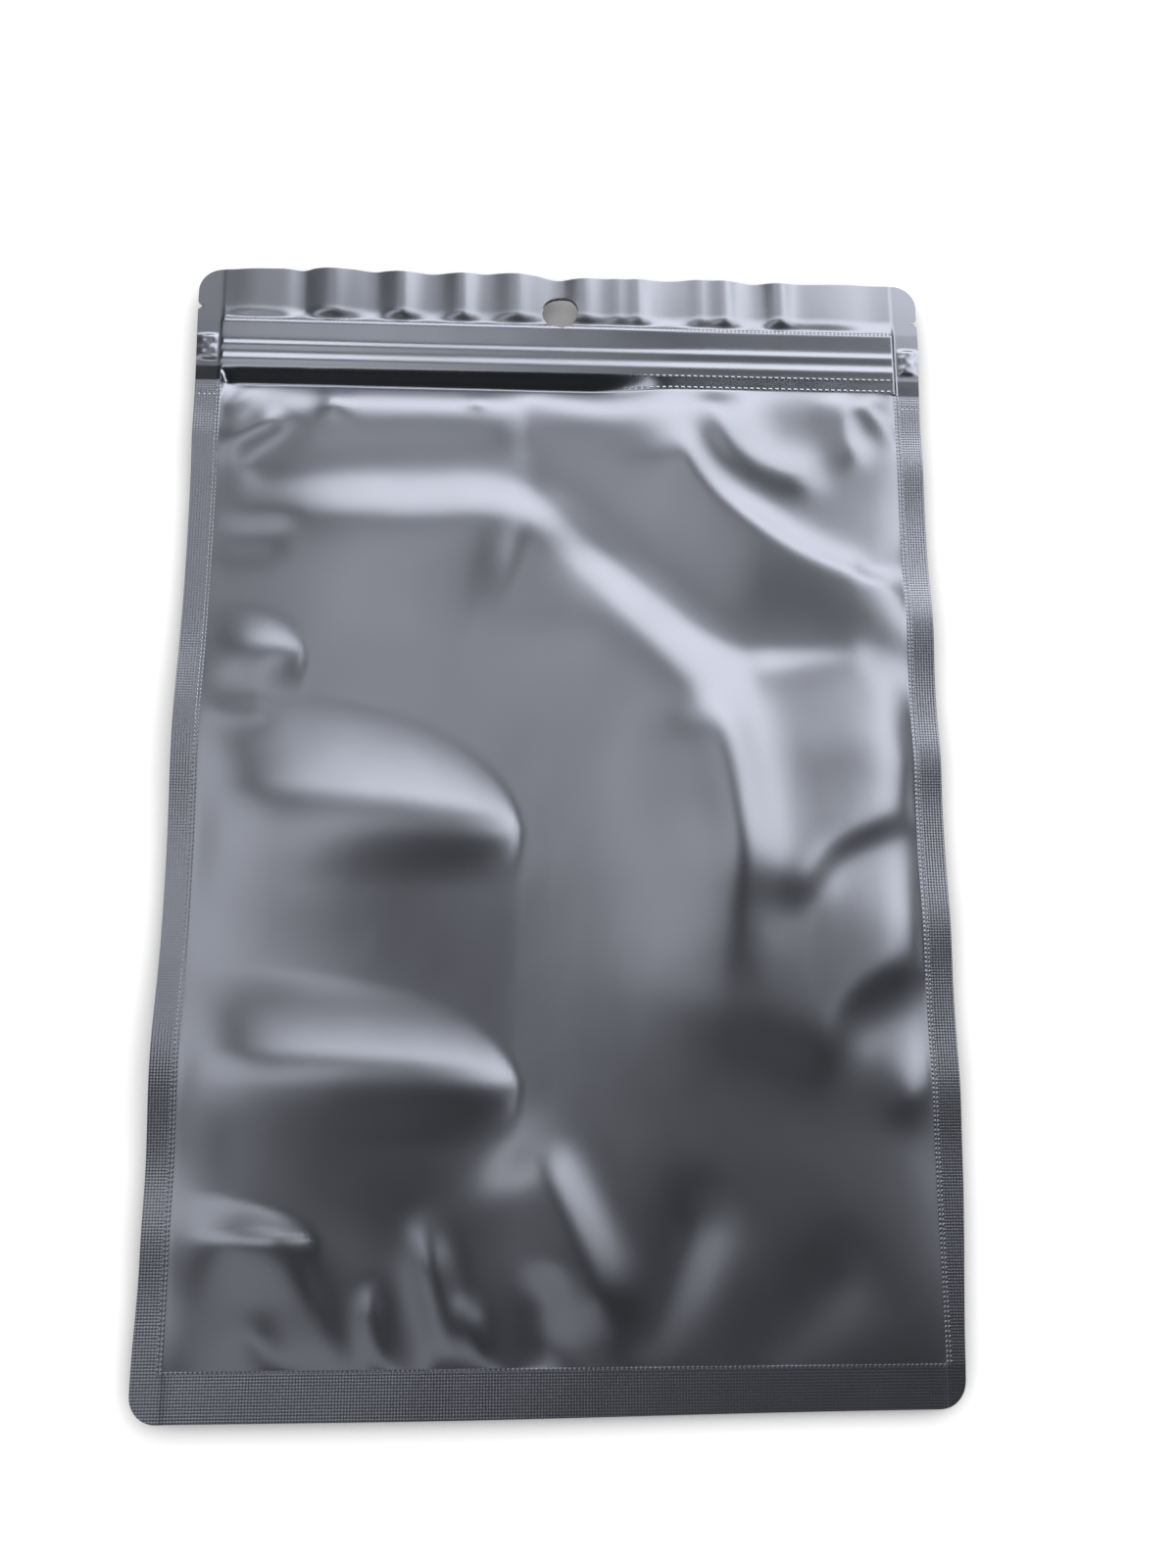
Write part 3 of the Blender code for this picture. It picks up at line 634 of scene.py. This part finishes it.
def points_of(mesh: bpy.types.Mesh) -> np.ndarray:
    """Reads the places of a mesh's vertices, one a row, in metres."""
    co = np.empty(len(mesh.vertices) * 3)
    mesh.vertices.foreach_get("co", co)
    return co.reshape(-1, 3)


@dataclass
class FilmPanel:
    """One film of the pouch, from the bottom weld to the mouth."""

    form: PouchForm
    face: Face
    name: str
    columns: np.ndarray
    rows: np.ndarray

    def build(self) -> bpy.types.Object:
        """Makes the panel as a thin closed shell with its hole and notches.

        Returns:
            The finished film, with its place in its mesh.
        """
        nx, ny = len(self.columns) - 1, len(self.rows) - 1
        bpy.ops.object.select_all(action="DESELECT")
        bpy.ops.mesh.primitive_grid_add(x_subdivisions=nx, y_subdivisions=ny, size=2)
        film = bpy.context.object
        film.name = film.data.name = self.name
        co = points_of(film.data)
        u = self.columns[np.rint((co[:, 0] + 1) / 2 * nx).astype(int)]
        v = self.rows[np.rint((co[:, 1] + 1) / 2 * ny).astype(int)]
        u, v = self.form.onto_outline(u, v)
        self.set_points(film.data, u, v)
        self.trim(film)
        mesh = film.data
        co = points_of(mesh) / MM
        self.set_points(mesh, co[:, 0], co[:, 1])
        if self.face is Face.BACK:
            mesh.flip_normals()
        for polygon in mesh.polygons:
            polygon.use_smooth = True
        shell = film.modifiers.new("FilmThickness", "SOLIDIFY")
        shell.thickness = self.form.film * MM
        shell.offset = -1
        shell.use_even_offset = False
        shell.material_offset = 1
        shell.material_offset_rim = 0
        return film

    def set_points(self, mesh: bpy.types.Mesh, x: np.ndarray, y: np.ndarray) -> None:
        """Puts each vertex at its place and on the film's height there.

        Args:
            mesh: the film's mesh.
            x: the vertices' places across, in millimetres.
            y: their places along.
        """
        height = self.form.front if self.face is Face.FRONT else self.form.back
        z = height(x, y)
        mesh.vertices.foreach_set("co", (np.stack([x, y, z], 1) * MM).ravel())
        mesh.update()

    def trim(self, film: bpy.types.Object) -> None:
        """Cuts the round corners, the hang hole with its nick, and the tear notches.

        Args:
            film: the film, still a sheet without thickness.
        """
        bm = bmesh.new()
        bm.from_mesh(film.data)
        gone = []
        for f in bm.faces:
            centre = f.calc_center_median()
            if self.cut_away(centre.x / MM, centre.y / MM):
                gone.append(f)
        bmesh.ops.delete(bm, geom=gone, context="FACES")
        for v in bm.verts:
            if v.is_boundary:
                x, y = self.onto_cut(v.co.x / MM, v.co.y / MM)
                v.co.x, v.co.y = x * MM, y * MM
        bm.to_mesh(film.data)
        bm.free()

    def cut_away(self, x: float, y: float) -> bool:
        """Says whether a face centred here lies in the hang hole or outside a round corner."""
        if math.hypot(x - self.form.hole[0], y - self.form.hole[1]) < self.form.hole_radius - 0.1:
            return True
        return math.hypot(*self.corner_arm(x, y)) - self.form.corner_radius > 0.05

    def onto_cut(self, x: float, y: float) -> tuple[float, float]:
        """Moves a border point onto the hang hole's edge, a round corner or a tear notch.

        Args:
            x: the point's place across, in millimetres.
            y: its place along.

        Returns:
            The point's new place.
        """
        form = self.form
        hx, hy = form.hole
        r = math.hypot(x - hx, y - hy)
        if r < form.hole_radius + form.hole_snap:
            scale = form.hole_radius / r
            x, y = hx + (x - hx) * scale, hy + (y - hy) * scale
            nick = max(0.0, 1 - abs(x - hx - form.nick_place) / form.nick_width)
            return x, y - form.nick_depth * nick if y < hy else y
        arm_x, arm_y = self.corner_arm(x, y)
        arm = math.hypot(arm_x, arm_y)
        if arm:
            scale = form.corner_radius / arm
            x, y = x + arm_x * (scale - 1), y + arm_y * (scale - 1)
        if abs(x) > form.half_w - form.notch_depth:
            cut = max(0.0, 1 - abs(y - form.notch_y) / form.notch_width)
            x -= math.copysign(form.notch_depth * cut, x)
        return x, y

    def corner_arm(self, x: float, y: float) -> tuple[float, float]:
        """Measures from the centre of the nearest round corner to a point.

        Args:
            x: the point's place across, in millimetres.
            y: its place along.

        Returns:
            The distances across and along, both 0 where there is no corner.
        """
        form, r = self.form, self.form.corner_radius
        side = form.right_edge if x >= 0 else form.left_edge
        end = form.top_edge if y > 0 else form.bottom_edge
        side_at = float(side(np.array([math.copysign(form.half_l - 2, y)]))[0])
        end_at = float(end(np.array([math.copysign(form.half_w - r, x)]))[0])
        arm_x = x - (side_at - math.copysign(r, x))
        arm_y = y - (end_at - math.copysign(r, y))
        if arm_x * math.copysign(1, x) <= 0 or arm_y * math.copysign(1, y) <= 0:
            return 0.0, 0.0
        return arm_x, arm_y


class Graph:
    """Short calls for the maths nodes of one node tree."""

    def __init__(self, tree: bpy.types.NodeTree) -> None:
        """Keeps the tree that the nodes go into."""
        self.tree = tree

    def math(self, operation: str, *values: bpy.types.NodeSocket | float) -> bpy.types.NodeSocket:
        """Adds one maths node.

        Args:
            operation: the node's operation, such as MULTIPLY.
            values: sockets or numbers for its inputs, in order.

        Returns:
            The socket that holds the result.
        """
        node = self.tree.nodes.new("ShaderNodeMath")
        node.operation = operation
        for slot, value in zip(node.inputs, values):
            if isinstance(value, bpy.types.NodeSocket):
                self.tree.links.new(value, slot)
            else:
                slot.default_value = value
        return node.outputs["Value"]

    def step(self, value: bpy.types.NodeSocket, start: float, end: float) -> bpy.types.NodeSocket:
        """Adds an eased step of a value.

        Args:
            value: the value.
            start: where the step is 0.
            end: where it is 1.

        Returns:
            The socket that holds the step.
        """
        node = self.tree.nodes.new("ShaderNodeMapRange")
        node.interpolation_type = "SMOOTHSTEP"
        node.inputs["From Min"].default_value = start
        node.inputs["From Max"].default_value = end
        self.tree.links.new(value, node.inputs["Value"])
        return node.outputs["Result"]

    def line(self, value: bpy.types.NodeSocket, place: float, reach: float) -> bpy.types.NodeSocket:
        """Gives 1 on a line at a place of the value, fading over its reach."""
        away = self.math("ABSOLUTE", self.math("SUBTRACT", value, place))
        return self.step(away, reach, 0.0)

    def wave(self, value: bpy.types.NodeSocket, length: float) -> bpy.types.NodeSocket:
        """Gives a sine wave of a value, by its wave length."""
        return self.math("SINE", self.math("MULTIPLY", value, 2 * math.pi / length))

    def noise(self, vector: bpy.types.NodeSocket, scale: float, detail: float,
              stretch: tuple[float, float, float] = (1, 1, 1)) -> bpy.types.NodeSocket:
        """Adds even noise round 0.

        Args:
            vector: the place that the noise is read at.
            scale: how fine it is, per metre.
            detail: how many finer layers it has.
            stretch: factors on the place along the three axes.

        Returns:
            The socket that holds the noise.
        """
        place = self.tree.nodes.new("ShaderNodeMapping")
        place.inputs["Scale"].default_value = stretch
        self.tree.links.new(vector, place.inputs["Vector"])
        node = self.tree.nodes.new("ShaderNodeTexNoise")
        node.inputs["Scale"].default_value = scale
        node.inputs["Detail"].default_value = detail
        self.tree.links.new(place.outputs["Vector"], node.inputs["Vector"])
        return self.math("SUBTRACT", node.outputs["Fac"], 0.5)


def new_group(name: str, outputs: tuple[str, ...]) -> tuple[bpy.types.NodeTree, Graph,
                                                            bpy.types.NodeSocket, bpy.types.Node]:
    """Makes an empty shader node group that takes a place on the film and gives values.

    Args:
        name: the group's name.
        outputs: the names of its value outputs.

    Returns:
        The group, its maths helper, the place socket and the group's output node.
    """
    group = bpy.data.node_groups.new(name, "ShaderNodeTree")
    group.interface.new_socket("Place", in_out="INPUT", socket_type="NodeSocketVector")
    for output in outputs:
        group.interface.new_socket(output, in_out="OUTPUT", socket_type="NodeSocketFloat")
    start = group.nodes.new("NodeGroupInput")
    return group, Graph(group), start.outputs["Place"], group.nodes.new("NodeGroupOutput")


@dataclass(frozen=True)
class WeldMarks:
    """Pitches, places and heights of the marks of the weld jaws and the zip, in millimetres."""

    knurl_pitch: float = 1.15
    knurl_rise: float = 0.02
    serration_pitch: float = 0.9
    side_beads: tuple[tuple[float, float], ...] = ((0.1, 0.3), (0.75, 0.25))
    side_rise: float = 0.10
    foot_rise: float = 0.08
    head_rise: float = 0.08
    dot_pitch: float = 1.1
    dot_rise: float = -0.08
    stitch_pitch: float = 1.4
    stitch_rise: float = 0.07
    stitch_lines: tuple[tuple[float, float], ...] = ((3.4, 0.32), (0.7, 0.28))
    stitch_turn: tuple[float, float] = (12.0, 22.0)

    def group(self, form: PouchForm) -> bpy.types.NodeTree:
        """Makes the node group of the marks.

        Args:
            form: the pouch's sizes.

        Returns:
            The group, which gives the height in millimetres of knurl, beads, dotted line and
            stitches, and shares that say where the welds, the zip band and the roll are.
        """
        group, g, place, out = new_group("weld_marks", ("Height", "Weld", "Zip", "Roll"))
        split = group.nodes.new("ShaderNodeSeparateXYZ")
        group.links.new(place, split.inputs["Vector"])
        x = g.math("MULTIPLY", split.outputs["X"], 1 / MM)
        y = g.math("MULTIPLY", split.outputs["Y"], 1 / MM)
        across = g.math("ABSOLUTE", x)
        side = g.step(across, form.seal_x + 0.5, form.seal_x + 1.0)
        below_zip = g.step(y, form.zip_bottom, form.zip_bottom - 1)
        foot = g.step(y, form.seal_y - 0.1, form.seal_y - 0.6)
        weld = g.math("MAXIMUM", g.math("MULTIPLY", side, below_zip), foot)
        slant, other = g.math("ADD", x, y), g.math("SUBTRACT", x, y)
        knurl = g.math("MULTIPLY", g.wave(slant, self.knurl_pitch),
                       g.wave(other, self.knurl_pitch))
        serration = g.math("MULTIPLY_ADD", g.wave(y, self.serration_pitch), 0.4, 0.6)
        beads = [g.line(across, form.seal_x + at, reach) for at, reach in self.side_beads]
        bead = g.math("MULTIPLY", g.math("ADD", *beads), serration)
        bead = g.math("MULTIPLY", bead, below_zip)
        bead = g.math("MULTIPLY", bead, g.step(y, form.seal_y - 0.5, form.seal_y))
        foot_serration = g.math("MULTIPLY_ADD", g.wave(x, self.serration_pitch), 0.4, 0.6)
        inside = g.step(across, form.seal_x + 0.6, form.seal_x)
        foot_bead, head_bead = (
            g.math("MULTIPLY", line, g.math("MULTIPLY", foot_serration, inside))
            for line in (g.line(y, form.seal_y, 0.32), g.line(y, form.zip_top - 0.35, 0.4)))
        dots = g.math("MULTIPLY", g.line(y, form.dotted_y, 0.3),
                      g.step(g.wave(x, self.dot_pitch), 0.0, 0.5))
        dots = g.math("MULTIPLY", dots, side)
        stitched = g.math("MULTIPLY", g.step(g.wave(x, self.stitch_pitch), -0.4, 0.4),
                          g.step(x, *self.stitch_turn))
        stitched = g.math("MULTIPLY", stitched, inside)
        lines = [g.line(y, form.zip_bottom + at, reach) for at, reach in self.stitch_lines]
        stitch = g.math("MULTIPLY", stitched, g.math("ADD", *lines))
        height = g.math("MULTIPLY", g.math("MULTIPLY", knurl, weld), self.knurl_rise)
        for mark, rise in ((bead, self.side_rise), (foot_bead, self.foot_rise),
                           (head_bead, self.head_rise), (dots, self.dot_rise),
                           (stitch, self.stitch_rise)):
            height = g.math("MULTIPLY_ADD", mark, rise, height)
        band = g.math("MULTIPLY", g.step(y, form.zip_bottom - 0.3, form.zip_bottom + 0.5),
                      g.step(y, form.zip_top + 0.4, form.zip_top - 0.4))
        roll = g.math("MULTIPLY", band,
                      g.step(y, form.zip_bottom + 3.9, form.zip_bottom + 3.2))
        for name, value in (("Height", height), ("Weld", weld), ("Zip", band), ("Roll", roll)):
            group.links.new(value, out.inputs[name])
        return group


@dataclass(frozen=True)
class FilmGrain:
    """The film's own unevenness, with heights in millimetres and scales per metre."""

    fine_scale: float = 1600
    fine_rise: float = 0.004
    crease_scale: float = 170
    crease_rise: float = 0.035
    crease_stretch: tuple[float, float, float] = (1, 0.55, 1)
    swell_scale: float = 60
    swell_rise: float = 0.22
    swell_stretch: tuple[float, float, float] = (1, 0.6, 1)

    def group(self) -> bpy.types.NodeTree:
        """Makes the node group of the unevenness.

        Returns:
            The group, which gives a height in millimetres and a tone round 0.
        """
        group, g, place, out = new_group("film_grain", ("Height", "Tone"))
        fine = g.noise(place, self.fine_scale, 2)
        creases = g.noise(place, self.crease_scale, 3, self.crease_stretch)
        height = g.math("MULTIPLY", fine, self.fine_rise)
        height = g.math("MULTIPLY_ADD", creases, self.crease_rise, height)
        swell = g.noise(place, self.swell_scale, 1, self.swell_stretch)
        height = g.math("MULTIPLY_ADD", swell, self.swell_rise, height)
        group.links.new(height, out.inputs["Height"])
        group.links.new(g.noise(place, self.swell_scale, 2), out.inputs["Tone"])
        return group


@dataclass(frozen=True)
class FilmFinish:
    """Satin gunmetal metallised film, smoother over the zip and knurled on its welds."""

    colour: tuple[float, float, float] = (0.328, 0.343, 0.396)
    roughness: float = 0.37
    weld_roughness: float = 0.35
    zip_roughness: float = 0.31
    roll_roughness: float = 0.19
    tone_roughness: float = 0.06

    def material(self, name: str, marks: bpy.types.NodeTree,
                 grain: bpy.types.NodeTree) -> bpy.types.Material:
        """Makes the film's material.

        Args:
            name: the material's name.
            marks: the weld marks' node group.
            grain: the film grain's node group.

        Returns:
            The material.
        """
        made = bpy.data.materials.new(name)
        made.use_nodes = True
        tree = made.node_tree
        g = Graph(tree)
        surface = tree.nodes["Principled BSDF"]
        surface.inputs["Base Color"].default_value = (*self.colour, 1)
        surface.inputs["Metallic"].default_value = 1.0
        place = tree.nodes.new("ShaderNodeTexCoord")
        weld, film = (tree.nodes.new("ShaderNodeGroup") for _ in range(2))
        weld.node_tree, film.node_tree = marks, grain
        for node in (weld, film):
            tree.links.new(place.outputs["Object"], node.inputs["Place"])
        rough = self.roughness
        for share, change in ((weld.outputs["Weld"], self.weld_roughness - self.roughness),
                              (weld.outputs["Zip"], self.zip_roughness - self.roughness),
                              (weld.outputs["Roll"], self.roll_roughness - self.zip_roughness),
                              (film.outputs["Tone"], self.tone_roughness)):
            rough = g.math("MULTIPLY_ADD", share, change, rough)
        tree.links.new(rough, surface.inputs["Roughness"])
        bump = tree.nodes.new("ShaderNodeBump")
        bump.inputs["Distance"].default_value = MM
        bump.inputs["Strength"].default_value = 1.0
        height = g.math("ADD", weld.outputs["Height"], film.outputs["Height"])
        tree.links.new(height, bump.inputs["Height"])
        tree.links.new(bump.outputs["Normal"], surface.inputs["Normal"])
        return made


@dataclass(frozen=True)
class PlainFinish:
    """A finish with one colour all over."""

    colour: tuple[float, float, float]
    roughness: float
    metallic: float = 0.0

    def material(self, name: str) -> bpy.types.Material:
        """Makes the material.

        Args:
            name: the material's name.

        Returns:
            The material.
        """
        made = bpy.data.materials.new(name)
        made.use_nodes = True
        surface = made.node_tree.nodes["Principled BSDF"]
        surface.inputs["Base Color"].default_value = (*self.colour, 1)
        surface.inputs["Roughness"].default_value = self.roughness
        surface.inputs["Metallic"].default_value = self.metallic
        return made


@dataclass
class Studio:
    """Floor, lights, surroundings and camera, in metres.

    The camera's place, directions and lens come from fitting the pouch's outline in the photo.
    """

    camera_place: tuple[float, float, float] = (-0.00920, -0.06527, 0.29371)
    camera_forward: tuple[float, float, float] = (0.04985, 0.22847, -0.97227)
    camera_up: tuple[float, float, float] = (-0.00885, 0.97355, 0.22832)
    lens: float = 32.98
    floor_size: float = 6.0
    floor_grey: float = 0.45
    floor_roughness: float = 0.9
    floor_glow: float = 0.98
    # The next two set painted shade: the floor's glow is darkened by ambient occlusion near the
    # pouch, a painted contact shadow that also darkens the hang hole.
    painted_shade_reach: float = 0.014
    painted_shade_depth: float = 2.2
    air: float = 0.028

    def build(self) -> None:
        """Sets up everything round the pouch."""
        self.add_floor()
        self.add_lights()
        self.add_world()
        self.add_camera()

    def add_floor(self) -> None:
        """Adds a wide pale floor just under the pouch, glowing, with painted shade where the pouch
        is near.
        """
        bpy.ops.object.select_all(action="DESELECT")
        bpy.ops.mesh.primitive_plane_add(size=self.floor_size, location=(0, 0, -0.0001))
        floor = bpy.context.object
        floor.name = "studio_floor"
        made = bpy.data.materials.new("studio_floor_painted_shade")
        made.use_nodes = True
        nodes, g = made.node_tree.nodes, Graph(made.node_tree)
        surface = nodes["Principled BSDF"]
        surface.inputs["Base Color"].default_value = (*[self.floor_grey] * 3, 1)
        surface.inputs["Roughness"].default_value = self.floor_roughness
        surface.inputs["Emission Color"].default_value = (1, 1, 1, 1)
        path = nodes.new("ShaderNodeLightPath")
        seen = g.math("MAXIMUM", path.outputs["Is Camera Ray"], path.outputs["Is Glossy Ray"])
        # Painted shade: the glow is cut by ambient occlusion where the pouch is near, a painted
        # contact shadow round the pouch and painted shade seen through the hang hole.
        painted_shade_ao = nodes.new("ShaderNodeAmbientOcclusion")
        painted_shade_ao.samples = 8
        painted_shade_ao.inputs["Distance"].default_value = self.painted_shade_reach
        lit = g.math("POWER", painted_shade_ao.outputs["AO"], self.painted_shade_depth)
        lit = g.math("MULTIPLY", lit, self.floor_glow)
        shown = g.math("MULTIPLY", seen, lit)
        made.node_tree.links.new(shown, surface.inputs["Emission Strength"])
        floor.data.materials.append(made)

    def add_lights(self) -> None:
        """Adds a strong lamp beyond the mouth and dimmer ones at the right, above, low and left."""
        for box in LAMPS:
            tx, ty = (math.tan(math.radians(a)) for a in box.toward)
            direction = Vector((tx, ty, 1)).normalized()
            lamp = bpy.data.lights.new(box.name, "AREA")
            lamp.shape = "RECTANGLE"
            lamp.size, lamp.size_y = box.size
            lamp.energy = box.power
            obj = bpy.data.objects.new(box.name, lamp)
            obj.location = direction * box.distance
            obj.rotation_mode = "QUATERNION"
            obj.rotation_quaternion = direction.to_track_quat("Z", "Y")
            bpy.context.scene.collection.objects.link(obj)

    def add_world(self) -> None:
        """Adds even surroundings, dim on the pouch and white to the camera."""
        world = bpy.data.worlds.new("studio_air")
        bpy.context.scene.world = world
        world.use_nodes = True
        nodes, links = world.node_tree.nodes, world.node_tree.links
        air = nodes["Background"]
        air.inputs["Color"].default_value = (1, 1, 1, 1)
        air.inputs["Strength"].default_value = self.air
        seen = nodes.new("ShaderNodeBackground")
        seen.inputs["Color"].default_value = (1, 1, 1, 1)
        seen.inputs["Strength"].default_value = 1.0
        path = nodes.new("ShaderNodeLightPath")
        mix = nodes.new("ShaderNodeMixShader")
        links.new(path.outputs["Is Camera Ray"], mix.inputs["Fac"])
        links.new(air.outputs["Background"], mix.inputs[1])
        links.new(seen.outputs["Background"], mix.inputs[2])
        links.new(mix.outputs["Shader"], nodes["World Output"].inputs["Surface"])

    def add_camera(self) -> None:
        """Adds the photograph's camera."""
        data = bpy.data.cameras.new("photo_camera")
        data.lens = self.lens
        data.sensor_width = 36
        data.sensor_fit = "AUTO"
        data.clip_start, data.clip_end = 0.01, 50
        camera = bpy.data.objects.new("photo_camera", data)
        forward = Vector(self.camera_forward).normalized()
        up = Vector(self.camera_up)
        up = (up - forward * up.dot(forward)).normalized()
        right = forward.cross(up)
        turn = Matrix((right, up, -forward)).transposed().to_4x4()
        camera.matrix_world = Matrix.Translation(self.camera_place) @ turn
        bpy.context.scene.collection.objects.link(camera)
        bpy.context.scene.camera = camera


@dataclass
class Pouch:
    """The whole pouch: two remade films, round the zip strips that keep their solids."""

    form: PouchForm = field(default_factory=PouchForm)

    def grid_lines(self, face: Face) -> tuple[np.ndarray, np.ndarray]:
        """Spaces a film's grid lines, close at the welds and the zip, and closer for the front.

        Args:
            face: the film.

        Returns:
            The places of the columns and of the rows, in millimetres.
        """
        w, s = self.form.half_w, self.form.seal_x
        low, top = self.form.seal_y, self.form.half_l
        zb, zt = self.form.zip_bottom, self.form.zip_top
        notch, reach = self.form.notch_y, self.form.notch_width
        if face is Face.FRONT:
            inner, weld, rim = 1.1, 0.3, 0.8
            foot, seal, head = 0.9, 0.35, 0.6
            zipped = ((low + 1, zb - 7, 1.15), (zb - 7, zb - 1, 0.6), (zb - 1, zb + 0.8, 0.22),
                      (zb + 0.8, zt + 1, 0.36))
        else:
            inner, weld, rim = 1.8, 0.5, 1.0
            foot, seal, head = 1.2, 0.5, 0.8
            zipped = ((low + 1, zb - 2, 1.8), (zb - 2, zt + 1, 0.5))
        half = spaced((0, s - 1.5, inner), (s - 1.5, s + 1.2, weld), (s + 1.2, w, rim))
        rows = spaced((-top, low - 1, foot), (low - 1, low + 1, seal), *zipped,
                      (zt + 1, notch - reach, head), (notch - reach, notch + reach, reach / 2),
                      (notch + reach, top, head))
        return np.r_[-half[:0:-1], half], rows

    def build(self) -> None:
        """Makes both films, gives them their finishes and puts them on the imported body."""
        outer = FilmFinish().material("gunmetal_film", WeldMarks().group(self.form),
                                      FilmGrain().group())
        inner = PlainFinish((0.78, 0.78, 0.79), 0.3, 1.0).material("silver_film_inside")
        for face, name in ((Face.FRONT, "front_film"), (Face.BACK, "back_film")):
            film = FilmPanel(self.form, face, name, *self.grid_lines(face)).build()
            film.data.materials.append(outer)
            film.data.materials.append(inner)
            apply_modifier(film, "FilmThickness")
            film.data.set_sharp_from_angle(angle=math.radians(50))
            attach(film, "root")
            log.info("%s: %d faces", film.name, len(film.data.polygons))
        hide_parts("pouch_envelope")
        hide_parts("pouch_envelope")


def main() -> None:
    """Builds the studio and the pouch."""
    logging.basicConfig(level=logging.INFO, format="%(message)s")
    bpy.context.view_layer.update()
    Studio().build()
    Pouch().build()
    bpy.context.scene.view_settings.view_transform = "Standard"


if __name__ == "__main__":
    main()
